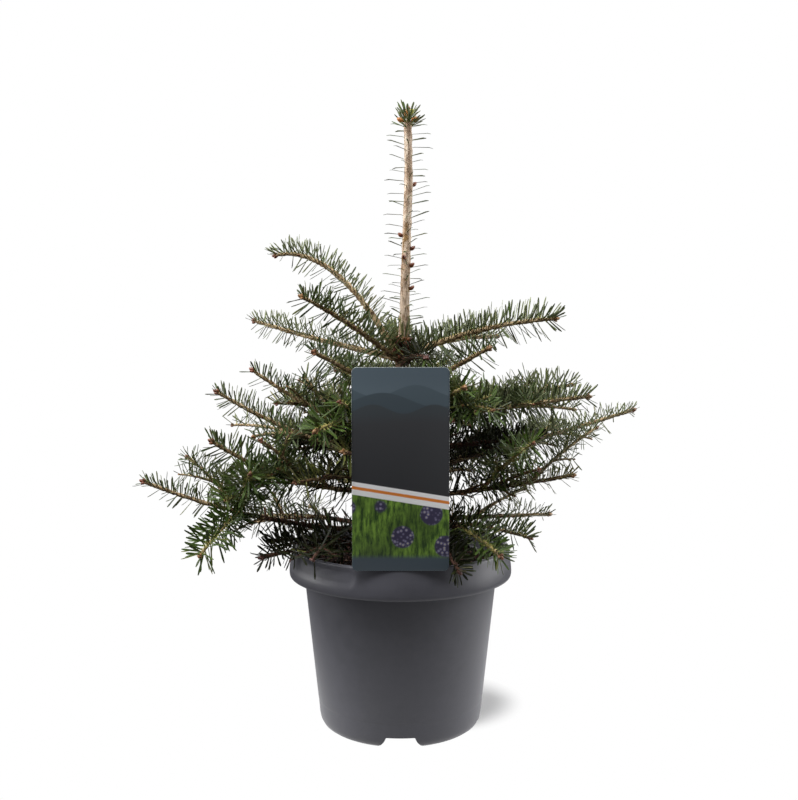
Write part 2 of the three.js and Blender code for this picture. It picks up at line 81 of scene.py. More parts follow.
SOIL = {"top": 140, "edge": 87.1, "middle": 14, "dip": 1.4, "dip_radius": 55}
SOIL_MESH = {"rings": 42, "segments": 160}
SOIL_SIDE = [(80, 130.3), (87.1, 138.3)]  # radius and height of the plug's upper side
CRUMBS = 5200
CRUMB_RING = (9, 85)  # how near the trunk and how far out they lie
# Crumb colours: the peat's, its flecks', and the share of the crumbs that have them.
CRUMB_TONES = {
    "dark": ("#2b1d18", "#3c2a22", 0.5),
    "brown": ("#46302a", "#5b4036", 0.28),
    "red": ("#5c3f36", "#775448", 0.16),
    "pale": ("#7c6654", "#95806c", 0.06),
}

CARD = {"width": 75, "height": 158, "thick": 0.8, "corner": 4, "bottom": 154, "back": -92}
TONGUE = {"width": 30, "bottom": 142, "front": -85.57}

TRUNK_FOOT = SOIL["top"] + GAP
TRUNK_TOP = 511
TRUNK_STATIONS = [
    (0, 8.6), (5, 6.8), (14, 6.1), (60, 5.6), (113, 5.2), (150, 4.9),
    (178, 5), (186, 4.5), (250, 4.1), (310, 3.7), (362, 3.5), (370.7, 3.6),
]
# Heights, and how far the trunk's middle stands to the right there.
LEAN = [(TRUNK_FOOT, 0), (320, 1.4), (345, 3.2), (420, 5.3), (460, 6.8), (TRUNK_TOP, 6.2)]
WHORL = 320
WHORL_SCALES = 80
LEADER_BUDS = [(456, 20), (414, 185), (403, 350), (395.5, 250), (389, 340), (370, 350)]

# The wood's meshes: how many sides they have, and how long their steps are.
WOOD_MESH = {
    "trunk": (28, 1.9), "bough": (14, 1.8), "main": (8, 1.7), "side": (8, 1.7), "twiglet": (6, 2.2),
}
# The bark's swelling at every bough's foot: its height and turn on the trunk, and how proud it is.
SWELLING = {"height": 5.5, "turn": 36, "proud": 1.5}

BOUGH_RADIUS = (3.0, 2.1)
SHOOT_RADIUS = (2.1, 1.3)
STOUT_RADIUS = (2.4, 1.3)  # of the boughs that bear needles all the way
SIDE_RADIUS = (1.55, 0.95)
TWIGLET_RADIUS = (1.05, 0.65)
BARE = 0.3
SIDE_BOW = 0.04
FORK = 42
PAST_END = 6
# Third-order twigs: how many, their reach, and the stretch of the shoot they leave.
TWIGLETS = {"main": (7, 34, 0.12, 0.66), "side": (2, 25, 0.25, 0.6)}
# Boughs that bear more or fewer of them.
TWIG_COUNTS = {
    "base_left": 2, "base_left_rim": 3, "base_back_left": 0, "base_back": 3, "base_right_back": 0,
    "base_right_front": 0, "low_left": 0, "low_back_left": 5, "low_right": 6, "low_right_back": 9,
    "low_back_right": 8, "mid_back_right": 9, "inner_right": 4, "inner_left": 8, "mid_right": 7,
    "mid_left": 4, "mid_back_left": 5, "low_left_mid": 4,
}
TWIG_RISE = (-22.68, 31.32)  # added to a share of the shoot's own rise
# Boughs, or side shoots, whose needles stand closer or further apart than the others'.
DENSITY = {
    "top_left_high": 1.1, "top_left_front": 1.45, "top_left_back": 1.2, "top_right": 1.35,
    "top_right_back": 1.25, "top_front": 0.8, "spur_left": 1.3, "low_left": 1.15,
    "low_left.0": 0.35, "low_left.1": 0.4, "low_left_mid.1": 0.7, "low_back_left": 0.7,
    "inner_right": 0.85, "inner_left": 0.85, "mid_left": 0.9, "mid_left.0": 0.7,
    "mid_right": 1.45, "mid_right.0": 0.9, "mid_right.1": 0.9, "mid_right.2": 0.75,
    "low_right.1": 0.75, "low_left_mid": 1.4, "low_left_mid.0": 0.55, "base_left.1": 1.5,
    "base_left.2": 0.95, "base_left_rim": 0.65, "base_left_rim.1": 0.3, "base_back_left": 0.42,
    "base_back": 0.7, "base_right_back": 0.72, "base_right_front": 1.6, "base_front_right": 1.9,
}
# Side shoots that hang lower than this rise, or are shorter than this, bear no twigs.
DROOP = -12
SHORT = 55


def even_pair(share, heading, rise, length):
    """Two side shoots that fork alike to both sides of a bough."""
    return [
        (share, heading + FORK, rise, length),
        (share + 0.07, heading - FORK, rise, 0.9 * length),
    ]


# Name, height of the foot on the trunk, heading, rise, reach, bow, bare share, then the side
# shoots as (share of the bough, heading, rise, reach).
BOUGHS = [
    ("top_left_high", 321, 165, 37, 139, 0.19, 0, []),
    ("top_left_front", 314, 209, 31, 106, 0.03, 0, []),
    ("top_left_back", 314, 149, 11, 161, -0.01, 0, []),
    ("top_right", 317, -6, 14, 132, 0.045, 0, []),
    ("top_right_back", 320, 40, 5, 114, 0.03, 0, []),
    ("top_back", 322, 93, 4, 118, 0.03, 0, []),
    ("top_front", 311, -75, 6, 74, 0.04, 0, []),
    ("spur_left", 277, 223, 27, 105, 0.02, 0, []),
    ("spur_right", 279, -35, 30, 97, 0.025, 0, []),
    ("spur_back_right", 288, 62, 12, 94, 0.04, 0, []),
    ("spur_back_left", 280, 128, 12, 100, 0.04, 0, []),
    ("mid_right", 255, -13, 11, 159, 0.02, BARE,
     [(0.45, 15, -1, 84), (0.38, 48, 15, 66), (0.55, 25, 14, 74)]),
    ("mid_right_front", 247, -61, 28, 110, 0.05, BARE, [(0.45, -68, -6, 48), (0.5, -40, 2, 64)]),
    ("mid_left", 244, 176, 26, 141, -0.05, BARE, [(0.42, 127, 34, 64)]),
    ("mid_left_front", 250, 235, 7, 115, 0.08, BARE, [(0.45, 248, 25, 54)]),
    ("mid_back", 257, 98, 16, 150, 0.04, BARE, even_pair(0.42, 98, 14, 76)),
    ("mid_back_right", 250, 46, 7, 142, 0.04, BARE, even_pair(0.45, 46, 7, 70)),
    ("mid_back_left", 248, 141, 9, 134, 0.04, BARE, even_pair(0.45, 141, 9, 68)),
    ("low_left", 224, 187, 23, 167, -0.045, BARE, [(0.45, 141, 3, 108), (0.5, 233, 6, 69)]),
    ("low_right_back", 216, 19, 12, 230, -0.01, BARE, [(0.5, 58, 4, 80)]),
    ("low_back", 220, 78, 13, 168, 0.03, BARE, even_pair(0.45, 78, 12, 80)),
    ("low_right", 194, 0, 8, 148, -0.01, BARE,
     [(0.74, 27, 32, 88), (0.5, -35, 24, 56), (0.45, -64, 32, 99)]),
    ("low_left_mid", 203, 202, 17, 170, -0.09, BARE, [(0.5, 242, 34, 83), (0.42, 207, 7, 58)]),
    ("low_left_front", 188, 244, 32, 117, 0.1, BARE, [(0.32, 208, 2, 82)]),
    ("low_back_left", 204, 124, 11, 172, 0.03, BARE, even_pair(0.45, 124, 10, 82)),
    ("low_back_right", 197, 55, 9, 158, 0.03, BARE, even_pair(0.45, 55, 9, 76)),
    ("base_left", 166, 189, 13, 220, -0.05, BARE,
     [(0.62, 139, 30, 87), (0.62, 285, 33, 85), (0.62, 250, -18, 77), (0.44, 115, 29, 44)]),
    ("base_right_back", 175, 25, -3, 150, 0, BARE, [(0.45, 17, 25, 60)]),
    ("base_right_front", 170, -49, -3, 117, 0.12, BARE, [(0.4, -18, -6, 80)]),
    ("base_back", 168, 96, 7, 156, 0.03, BARE, even_pair(0.45, 96, 8, 78)),
    ("base_back_left", 163, 146, -1, 160, 0.04, BARE, even_pair(0.45, 146, -2, 76)),
    ("base_left_rim", 157, 209, 0, 127, 0.03, 0, [(0.42, 182, 3, 66), (0.5, 263, 4, 78)]),
    ("base_front_right", 160, -65.5, -3, 108, 0.15, 0, []),
    ("inner_right", 235, 8, 4, 122, 0.01, 0, [(0.4, 50, 8, 62), (0.47, -32, 3, 58)]),
    ("inner_left", 234, 164, 3, 112, 0.01, 0, [(0.42, 124, 6, 60), (0.47, 208, -4, 58)]),
]

# Sprays: the green and the needle size of each bough, or of one of its side shoots, whose own is
# known. The others take turns.
SPRAYS = {
    "top_left_high": ("grey", 0.94), "top_left_front": ("deep", 1.08),
    "top_left_back": ("grey", 0.9), "top_right": ("grey", 1.12), "top_right_back": ("grey", 1.0),
    "spur_left": ("deep", 1.0), "spur_right": ("deep", 1.05), "mid_right": ("grey", 1.05),
    "mid_right_front": ("bright", 1.15), "mid_left": ("deep", 0.95),
    "mid_left_front": ("bright", 1.2), "low_left": ("grey", 0.95), "low_right": ("olive", 0.92),
    "low_right.0": ("grey", 0.88), "low_right.2": ("bright", 1.1),
    "low_right_back": ("grey", 0.84), "low_left_mid": ("deep", 1.08),
    "low_left_front": ("olive", 1.15), "base_left": ("deep", 0.88), "base_left.1": ("bright", 1.2),
    "base_left.2": ("bright", 1.2), "base_right_back": ("grey", 0.84),
    "base_right_front": ("bright", 1.12), "base_right_front.0": ("deep", 1.0),
    # The sprays of the shade tone are painted shade, dark where they lie in shadow.
    "base_left_rim": ("shade", 1.12), "base_front_right": ("shade", 1.1),
    "top_front": ("shade", 0.85), "inner_right": ("shade", 1.0), "inner_left": ("shade", 1.0),
}
SPRAY_TURNS = [("deep", 1.0), ("grey", 1.0), ("olive", 1.0), ("deep", 1.0), ("bright", 1.0)]
# Needle colours above and below, and the needles' share of the full width.
NEEDLE_TONES = {
    "deep": ("#2f3d19", "#666d45", 0.95),
    "grey": ("#414c2b", "#868d6a", 0.9),
    "bright": ("#3d501d", "#6e764a", 1.0),
    "olive": ("#525628", "#8e8a60", 0.9),
    "pale": ("#6c7b52", "#a7b08d", 0.8),
    # The shade tone is painted shade: near-black needles where the crown lies in shadow.
    "shade": ("#1e220f", "#38362a", 1.05),
    "rust": ("#54301f", "#70492f", 1.0),
}
TINTS = list(NEEDLE_TONES)
COMMON_TINTS = 4  # the first ones, which stand here and there in every spray
# Dead short needles on the low boughs' old wood.
RUST = {"share": 0.6, "until": 0.62, "fade": 0.2, "top": 190, "short": 0.6}
NEEDLE_FOOT_TONE = "#8a8a4e"
DULL = ("shade", "rust")  # tones with less gloss
# Deep in the crown, within this radius and below this height, most needles take the dark shade
# tone, painted shade for the little light there, and many have fallen.
SHADE = {"radius": 108, "soft": 60, "top": 305, "share": 0.92, "fallen": 0.5}

# Needles of a shoot: how many stand on a millimetre of it, and how they are turned and leant.
NEEDLE = {"length": 16.8, "width": 1.6, "thick": 0.55, "curl": 0.12}
NEEDLE_FOOT = 0.14  # the share of its length that has the foot's tone
PER_MM = {"main": 1.95, "side": 1.9, "twiglet": 1.65, "bough": 1.5, "leader": 0.54}
LOW_SHARE = 0.17
TURN = {"top": 4, "side": 114, "combed": 92, "low": 126}
COMBED = ("grey", "deep", "olive")  # sprays whose needles leave the twig's sides bare
COMBED_SHARE = 0.76  # and how many needles they bear beside the others
# How far needles lean from the shoot's way, in degrees: on top, at its sides and at its tip, and
# how much this varies to both sides. They shorten too from this share of the shoot.
LEAN_TOP = 84
LEAN_SIDE = 73
LEAN_TIP = 42
LEAN_SPREAD = 8.5
TIP_FROM = 0.86
# The tuft at the top, the upright needles at the leader's foot, and dry scales there: how many,
# their lowest and highest foot, rises, lengths and tone.
LEADER_TUFTS = [
    (34, TRUNK_TOP - 6, TRUNK_TOP + 5, (6, 82), (10, 14.5), "bright"),
    (22, TRUNK_TOP - 6, TRUNK_TOP + 4, (6, 70), (9, 13), "pale"),
    (20, WHORL, WHORL + 15, (52, 80), (11, 17), "olive"),
    (70, WHORL - 9, WHORL + 9, (0, 70), (4.5, 8.5), "rust"),
]

# The pieces that the needles go into: the step of their draws, and the boughs' first words.
TIERS = {
    "top": (3, ("top_", "spur_")),
    "middle": (6, ("mid_", "inner_")),
    "lower": (5, ("low_",)),
    "base": (4, ("base_",)),
}

# Twig colours, and for each spray the colour of most of the skin and of the pads on it.
BEIGE, OLIVE, BROWN, DARK = range(4)
TWIG_BY_TINT = {
    "grey": (BEIGE, BROWN), "bright": (OLIVE, BEIGE), "olive": (BROWN, DARK),
    # Shade sprays get dark twigs: painted shade.
    "deep": (BROWN, BEIGE), "shade": (DARK, DARK),
}
PAD_SHARE = 0.34

BUD_SIZE = {"main": 1.27, "side": 1.0, "twiglet": 0.6}
BUD_TONES = {
    "brown": "#764b30", "red": "#78442e", "tan": "#916a42", "orange": "#b5753a",
    "yellow": "#b3b048", "dark": "#47231a",
}
# Half width and half length of the buds: at a shoot's end, round it and along it, the dry scales
# at the whorl, and the buds beside the leader and on its top.
BUD_SHAPES = {
    "end": (1.35, 2.1), "round": (1.05, 1.7), "along": (1.0, 1.6), "scale": (1.7, 3.3),
    "leader": (1.8, 2.7), "top": (2.2, 3.4),
}
BUD = {name: number for number, name in enumerate(BUD_TONES)}
# The buds on the leader's very top: heading, rise, how far out and up their feet are, and tone.
TOP_BUDS = [
    (190, 20, 6.2, 0.2, "orange"), (-12, 25, 5.8, 0.8, "orange"), (100, 60, 2.0, 6.0, "brown"),
    (250, 50, 3.4, 5.0, "orange"), (320, 45, 3.2, 6.5, "yellow"), (60, 80, 0.6, 8.5, "brown"),
]


# --- small helpers ---


def draws(kind, step=0):
    return np.random.default_rng(SEEDS[kind] + step)


def vary(rng, low, high, count=None):
    """One random number, or an array of them, between low and high."""
    return low + (high - low) * rng.random(count)


def unit(vectors):
    return vectors / np.linalg.norm(vectors, axis=-1, keepdims=True)


def curve(start, bend, end, t):
    """The point at t on the quadratic arc from start to end, drawn towards bend."""
    return (1 - t) ** 2 * start + 2 * t * (1 - t) * bend + t ** 2 * end


def smooth_step(value, low, high):
    """0 up to low, 1 from high, and an easy slope between."""
    share = min(max((value - low) / (high - low), 0), 1)
    return share * share * (3 - 2 * share)


# --- shader helpers ---


def tone(hexed):
    """A colour such as #3b5a37 as the linear RGBA that a socket takes."""
    channels = [int(hexed[i:i + 2], 16) / 255 for i in (1, 3, 5)]
    linear = [c / 12.92 if c <= 0.04045 else ((c + 0.055) / 1.055) ** 2.4 for c in channels]
    return (*linear, 1.0)


def grey(level):
    return (level, level, level, 1.0)


class Shader:
    """Short ways to add and join nodes in one node tree."""

    def __init__(self, tree):
        self.tree = tree

    def node(self, kind, **settings):
        made = self.tree.nodes.new(kind)
        for name, value in settings.items():
            setattr(made, name, value)
        return made

    def put(self, socket, value):
        if isinstance(value, bpy.types.NodeSocket):
            self.tree.links.new(value, socket)
        else:
            socket.default_value = value

    def fill(self, made, *values):
        """Gives a node's first inputs their values, and hands back its outputs."""
        for socket, value in zip(made.inputs, values):
            self.put(socket, value)
        return made.outputs

    def give(self, made, **values):
        """Gives a node's named inputs their values, and hands back its outputs."""
        for label, value in values.items():
            self.put(made.inputs[label], value)
        return made.outputs

    def math(self, operation, *values):
        return self.fill(self.node("ShaderNodeMath", operation=operation), *values)[0]

    def mix(self, factor, a, b, blend="MIX"):
        """A blend of two colours, which are inputs 6 and 7 and output 2 of the node."""
        made = self.node("ShaderNodeMix", data_type="RGBA", blend_type=blend)
        for number, value in ((0, factor), (6, a), (7, b)):
            self.put(made.inputs[number], value)
        return made.outputs[2]

    def range(self, value, low, high, to_low=0.0, to_high=1.0, kind="SMOOTHSTEP"):
        made = self.node("ShaderNodeMapRange", interpolation_type=kind)
        return self.fill(made, value, low, high, to_low, to_high)[0]

    def place(self, scale=(1, 1, 1), turn=(0, 0, 0)):
        """Object coordinates, stretched and turned."""
        source = self.node("ShaderNodeTexCoord").outputs["Object"]
        mapping = self.node("ShaderNodeMapping")
        return self.give(mapping, Vector=source, Scale=scale, Rotation=turn)[0]

    def split(self, vector):
        """The three parts of a vector."""
        return self.fill(self.node("ShaderNodeSeparateXYZ"), vector)

    def noise(self, vector, scale, detail=3.0, roughness=0.55):
        made = self.node("ShaderNodeTexNoise")
        return self.give(made, Vector=vector, Scale=scale, Detail=detail, Roughness=roughness)[0]

    def cells(self, vector, scale, randomness=1.0):
        """How far each point is from the middle of its cell."""
        made = self.node("ShaderNodeTexVoronoi")
        self.give(made, Vector=vector, Scale=scale, Randomness=randomness)
        return made.outputs["Distance"]


def group(name, inputs, outputs, build):
    """A shader node group with named inputs and outputs, filled by build(shader, given, result)."""
    tree = bpy.data.node_groups.new(name, "ShaderNodeTree")

    def socket(label, side):
        kind = "NodeSocketColor" if label == "Color" else "NodeSocketFloat"
        return tree.interface.new_socket(name=label, in_out=side, socket_type=kind)

    for label, value in inputs.items():
        socket(label, "INPUT").default_value = value
    for label in outputs:
        socket(label, "OUTPUT")
    shader = Shader(tree)
    build(shader, shader.node("NodeGroupInput").outputs, shader.node("NodeGroupOutput").inputs)
    return tree


def mottle_build(shader, given, result):
    """Soft light and dark patches of a colour, at two scales."""
    source = shader.place()
    broad = shader.noise(source, given["Scale"], detail=2.0)
    fine = shader.noise(source, shader.math("MULTIPLY", given["Scale"], 6.3), detail=4.0)
    both = shader.math("MULTIPLY_ADD", broad, 0.6, shader.math("MULTIPLY", fine, 0.4))
    mask = shader.range(both, 0.34, 0.66)
    lit, shaded = (
        shader.mix(given["Depth"], given["Color"], grey(level), "SOFT_LIGHT")
        for level in (1.0, 0.0)
    )
    shader.put(result["Color"], shader.mix(mask, shaded, lit))
    shader.put(result["Mask"], mask)


def grain_build(shader, given, result):
    """The fine even texture of a moulded or fibrous surface, as a height."""
    source = shader.place()
    cells = shader.cells(source, given["Scale"])
    fine = shader.noise(source, shader.math("MULTIPLY", given["Scale"], 1.7), detail=2.0)
    shader.put(result["Height"], shader.math("MULTIPLY_ADD", cells, 0.5, fine))


def dust_build(shader, given, result):
    """A mask for dust and splashes, strongest near a height and broken up by noise."""
    source = shader.place()
    below = shader.range(shader.split(source)[2], given["Top"], given["Bottom"])
    specks = shader.noise(source, given["Scale"], detail=6.0, roughness=0.7)
    shader.put(result["Mask"], shader.math("MULTIPLY", below, shader.range(specks, 0.48, 0.72)))


def streak_build(shader, given, result):
    """Long fibres that run upwards, as a mask."""
    source = shader.place(scale=(1, 1, 0.12))
    fibres = shader.noise(source, given["Scale"], detail=5.0, roughness=0.65)
    shader.put(result["Mask"], shader.range(fibres, 0.36, 0.64))


MOTTLE = group(
    "mottle", {"Color": grey(0.5), "Scale": 60.0, "Depth": 0.3}, ["Color", "Mask"],
    mottle_build,
)
GRAIN = group("grain", {"Scale": 900.0}, ["Height"], grain_build)
DUST = group("dust", {"Top": 0.05, "Bottom": 0.0, "Scale": 40.0}, ["Mask"], dust_build)
STREAKS = group("streaks", {"Scale": 400.0}, ["Mask"], streak_build)


class Finish:
    """One material with its Principled BSDF, and ways to feed it from the shared groups."""

    def __init__(self, name, roughness, specular=0.5):
        self.material = bpy.data.materials.new(name)
        self.material.use_nodes = True
        self.shader = Shader(self.material.node_tree)
        self.bsdf = self.material.node_tree.nodes["Principled BSDF"]
        self.bsdf.inputs["Roughness"].default_value = roughness
        self.bsdf.inputs["Specular IOR Level"].default_value = specular

    def use(self, tree, **given):
        return self.shader.give(self.shader.node("ShaderNodeGroup", node_tree=tree), **given)

    def mottled(self, colour, scale, depth):
        """A colour with soft patches, and their mask."""
        return self.use(MOTTLE, Color=colour, Scale=scale, Depth=depth)

    def colour(self, value):
        self.shader.put(self.bsdf.inputs["Base Color"], value)

    def roughness(self, mask, low, high):
        rough = self.shader.range(mask, 0.0, 1.0, low, high, kind="LINEAR")
        self.shader.put(self.bsdf.inputs["Roughness"], rough)

    def grained(self, scale, height, strength):
        """A fine bump all over, of a height in millimetres."""
        grain = self.use(GRAIN, Scale=scale)["Height"]
        made = self.shader.node("ShaderNodeBump")
        self.shader.give(made, Height=grain, Distance=height * MM, Strength=strength)
        self.shader.put(self.bsdf.inputs["Normal"], made.outputs[0])


# --- materials ---


def pot_plastic():
    """Matte charcoal moulded plastic with a fine grain, worn patches and some dust at the foot."""
    finish = Finish("pot_plastic", roughness=0.5, specular=0.45)
    body = finish.mottled(tone("#4a4a51"), 14.0, 0.12)
    dust = finish.use(DUST, Top=0.06, Bottom=0.0, Scale=70.0)["Mask"]
    veil = finish.shader.math("MULTIPLY", dust, 0.05)
    finish.colour(finish.shader.mix(veil, body["Color"], tone("#8b8781")))
    finish.roughness(body["Mask"], 0.42, 0.5)
    finish.grained(1400.0, 0.05, 0.5)
    return finish.material


def potting_soil(name, colour, lighter):
    """Dark damp peat with lighter crumbs."""
    finish = Finish(name, roughness=0.9, specular=0.25)
    body = finish.mottled(tone(colour), 160.0, 0.8)
    flecks = finish.shader.cells(finish.shader.place(), 420.0)
    specks = finish.shader.range(flecks, 0.2, 0.05)
    finish.colour(finish.shader.mix(specks, body["Color"], tone(lighter)))
    finish.grained(700.0, 0.4, 0.8)
    return finish.material


def bark(name, colour, stripe, depth=0.5, rough=0.85, patch=None):
    """Bark with long fibres and soft patches."""
    finish = Finish(name, roughness=rough, specular=0.25)
    fibres = finish.use(STREAKS, Scale=520.0)["Mask"]
    base = finish.shader.mix(fibres, tone(colour), tone(stripe))
    if patch:
        blots = finish.shader.noise(finish.shader.place(scale=(1, 1, 0.4)), 150.0)
        base = finish.shader.mix(finish.shader.range(blots, 0.52, 0.64), base, tone(patch))
    finish.colour(finish.mottled(base, 110.0, depth)["Color"])
    finish.grained(620.0, 0.3, 0.7)
    return finish.material


def needle_green(name, colour, rough=0.42, specular=0.22):
    """Waxy needle skin with faint patches."""
    finish = Finish(name, roughness=rough, specular=specular)
    body = finish.mottled(tone(colour), 150.0, 0.35)
    finish.colour(body["Color"])
    finish.roughness(body["Mask"], rough - 0.08, rough + 0.1)
    return finish.material


def bud_scale(name, colour):
    """Resinous bud with darker scales."""
    finish = Finish(name, roughness=0.4)
    finish.colour(finish.mottled(tone(colour), 420.0, 0.6)["Color"])
    finish.grained(900.0, 0.25, 0.8)
    return finish.material


# --- mesh helpers ---


def add_object(name, data):
    made = bpy.data.objects.new(name, data)
    bpy.context.scene.collection.objects.link(made)
    return made


def piece(name, mesh, materials, replaced=()):
    """Puts a finished mesh in the scene, on the one body, in place of the CAD nodes it is for."""
    for material in materials:
        mesh.materials.append(material)
    made = add_object(name, mesh)
    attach(made, "root")
    if replaced:
        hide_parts(*replaced)


def points_of(geometry):
    return [part for part in geometry if isinstance(part, bmesh.types.BMVert)]


def smoothed(mesh, sharp=None):
    """The mesh shaded smooth, but for edges over `sharp` degrees where that is given."""
    mesh.shade_smooth()
    if sharp is not None:
        mesh.set_sharp_from_angle(angle=math.radians(sharp))
    return mesh


def mesh_of(bm, name, sharp=40):
    """A smoothed mesh in metres from a bmesh in millimetres."""
    bmesh.ops.scale(bm, vec=(MM, MM, MM), verts=bm.verts)
    bmesh.ops.recalc_face_normals(bm, faces=bm.faces)
    mesh = bpy.data.meshes.new(name)
    bm.to_mesh(mesh)
    bm.free()
    return smoothed(mesh, sharp)


def rounded(corners, steps=5):
    """A polyline of (r, z, roundness) with every corner drawn as an arc of that roundness."""
    points = []
    for i, (r, z, size) in enumerate(corners):
        here = np.array([r, z], float)
        if size == 0 or i in (0, len(corners) - 1):
            points.append(here)
            continue
        ends = []
        for other in (corners[i - 1], corners[i + 1]):
            away = np.array(other[:2], float) - here
            reach = np.linalg.norm(away)
            ends.append(here + away / reach * min(size, 0.48 * reach))
        points += [curve(ends[0], here, ends[1], t) for t in np.linspace(0, 1, steps)]
    return points


def densely(points, step):
    """The same polyline with no stretch longer than step."""
    result = [points[0]]
    for a, b in zip(points, points[1:]):
        count = max(1, math.ceil(np.linalg.norm(b - a) / step))
        result += [a + (b - a) * i / count for i in range(1, count + 1)]
    return result


def turned(points, segments):
    """A profile of (r, z) spun about the Z axis."""
    bm = bmesh.new()
    verts = [bm.verts.new((r, 0, z)) for r, z in points]
    edges = [bm.edges.new(pair) for pair in zip(verts, verts[1:])]
    bmesh.ops.spin(
        bm, geom=verts + edges, cent=(0, 0, 0), axis=(0, 0, 1), angle=2 * math.pi,
        steps=segments, use_merge=True,
    )
    bmesh.ops.remove_doubles(bm, verts=bm.verts, dist=1e-4)
    return bm


def carved(mesh, cutters):
    """The mesh with every cutter taken away from it."""
    body = add_object("body", mesh)
    tools = [add_object("tool", cutter) for cutter in cutters]
    for tool in tools:
        cut = body.modifiers.new("cut", "BOOLEAN")
        cut.operation = "DIFFERENCE"
        cut.solver = "EXACT"
        cut.object = tool
    graph = bpy.context.evaluated_depsgraph_get()
    result = bpy.data.meshes.new_from_object(body.evaluated_get(graph))
    for made in [*tools, body]:
        bpy.data.objects.remove(made)
    return result


def drawn_out(bm, sides, stations, skin=None):
    """A closed tube through stations of (centre, right, over, radius).

    skin(centre, outward) says how far the skin stands proud there.
    """
    centre, right, over, _ = stations[0]
    turned_to = Matrix((right, over, np.cross(right, over))).transposed()
    ring = bmesh.ops.create_circle(
        bm, segments=sides, radius=1, matrix=Matrix.Translation(centre) @ turned_to.to_4x4()
    )["verts"]
    first = last = {e for v in ring for e in v.link_edges}
    old = centre
    for centre, right, over, radius in stations:
        if ring is None:
            made = bmesh.ops.extrude_edge_only(bm, edges=list(last))["geom"]
            ring = points_of(made)
            last = {g for g in made if isinstance(g, bmesh.types.BMEdge)}
            last = {e for e in last if all(v in ring for v in e.verts)}
        way = Vector(np.cross(right, over))
        for vert in ring:
            outward = vert.co - Vector(old)
            outward -= way * outward.dot(way)
            outward.normalize()
            proud = skin(centre, outward) if skin else 0
            vert.co = Vector(centre) + outward * (radius + proud)
        ring = None
        old = centre
    bmesh.ops.holes_fill(bm, edges=list(first) + list(last), sides=sides)


# --- pot ---


def pot_profile():
    """The wall's outline from the middle of the foot pad round the rim to that of the floor."""
    base, lip, rim = POT["base_radius"], POT["lip_radius"], POT["rim_radius"]
    height, ledge, floor = POT["height"], POT["ledge"], POT["floor_top"]
    foot = [
        (0, 0, 0),
        (POT["pad_radius"], 0, 1),
        (POT["pad_radius"] + 2, POT["recess"], 1),
        (POT["ring_inside"] - 1.5, POT["recess"], 1),
        (POT["ring_inside"], 0, 1),
        (base - 0.6, 0, POT["base_fillet"] + 2),
    ]
    wall = [(70.7, 22, 0.8), (70.95, 22.6, 0.8), (POT["neck_radius"], ledge, 1.2)]
    band = [
        (lip - 5.8, ledge, 0.8),
        (lip - 3.2, POT["lip_bottom"], 2.2),
        (lip, POT["lip_bottom"] + 0.4, 4.4),
        (lip - 0.2, 138, 5),
        (rim + 2.2, 148, 3),
        (rim + 1.3, height, 1.6),
        (rim - 2.8, height, 1.1),
    ]
    inside = [
        (POT["mouth_radius"], ledge + 6, 2),
        (POT["neck_radius"] - 2.1, ledge - 2, 2),
        (base - 2.9, floor + 2, 1),
        (base - 5.1, floor, 1),
        (0, floor, 0),
    ]
    return rounded(foot + wall + band + inside)


def press_field(bm):
    """Presses the shallow round-cornered field into the rim's band."""
    outer = POT["mouth_radius"] + 2.6  # the inside of the wall stays as it is
    half_height = (FIELD["top"] - FIELD["bottom"]) / 2
    middle_height = FIELD["bottom"] + half_height
    for vert in bm.verts:
        radius = math.hypot(vert.co.x, vert.co.y)
        if radius < outer or not POT["lip_bottom"] < vert.co.z < POT["height"] - 1:
            continue
        turn = math.degrees(math.atan2(vert.co.x, -vert.co.y)) - FIELD["middle"]
        along = abs(math.radians(turn)) * radius - math.radians(FIELD["half"]) * radius
        over = abs(vert.co.z - middle_height) - half_height
        corner = FIELD["corner"]
        beyond = math.hypot(max(along + corner, 0), max(over + corner, 0)) - corner
        inside = 1 - smooth_step(max(beyond, min(max(along, over), 0)), *FIELD_EDGE)
        shrink = 1 - FIELD["depth"] * inside / radius
        vert.co.x *= shrink
        vert.co.y *= shrink


def notch_section():
    """Right half of the notch's outline from the floor up, as (x, z): flared at its foot."""
    half, bend, top = NOTCH["wide"] / 2, NOTCH["flare"] / 2, NOTCH["narrow"] / 2
    height = NOTCH["height"]
    points = [
        (curve(half, bend, top, t), curve(-1, height / 4, height - NOTCH["corner"], t))
        for t in np.linspace(0, 1, 8)
    ]
    return points + [(top, height)]


def bevelled(bm, kind, geometry, offset, segments):
    bmesh.ops.bevel(
        bm, geom=geometry, offset=offset, offset_type="OFFSET", segments=segments, profile=0.5,
        affect=kind, material=-1,
    )


def pushed_out(bm, depth):
    """Draws all faces of a flat bmesh out along +Y."""
    made = bmesh.ops.extrude_face_region(bm, geom=list(bm.faces))["geom"]
    bmesh.ops.translate(bm, vec=(0, depth, 0), verts=points_of(made))


def notch_cutter(turn):
    """A bar with the notch's section, its two upper corners rounded."""
    bm = bmesh.new()
    right = notch_section()
    outline = right + [(-x, z) for x, z in reversed(right)]
    start = POT["base_radius"] + PAST_WALL
    verts = [bm.verts.new((x, -start, z)) for x, z in outline]
    bm.faces.new(verts)
    upper = verts[len(right) - 1:len(right) + 1]
    bevelled(bm, "VERTICES", upper, NOTCH["corner"], 5)
    pushed_out(bm, start - POT["ring_inside"] + 4)  # well past the ring's inside
    bmesh.ops.rotate(bm, cent=(0, 0, 0), matrix=Matrix.Rotation(turn, 3, "Z"), verts=bm.verts)
    return mesh_of(bm, "notch")


def drain_cutter(turn):
    bm = bmesh.new()
    radius, circle = DRAINS["radius"], DRAINS["circle"]
    depth, middle = DRAINS["high"] - DRAINS["low"], (DRAINS["high"] + DRAINS["low"]) / 2
    bmesh.ops.create_cone(
        bm, cap_ends=True, segments=32, radius1=radius, radius2=radius, depth=depth
    )
    place = Vector((circle * math.cos(turn), circle * math.sin(turn), middle))
    bmesh.ops.translate(bm, vec=place, verts=bm.verts)
    return mesh_of(bm, "drain")


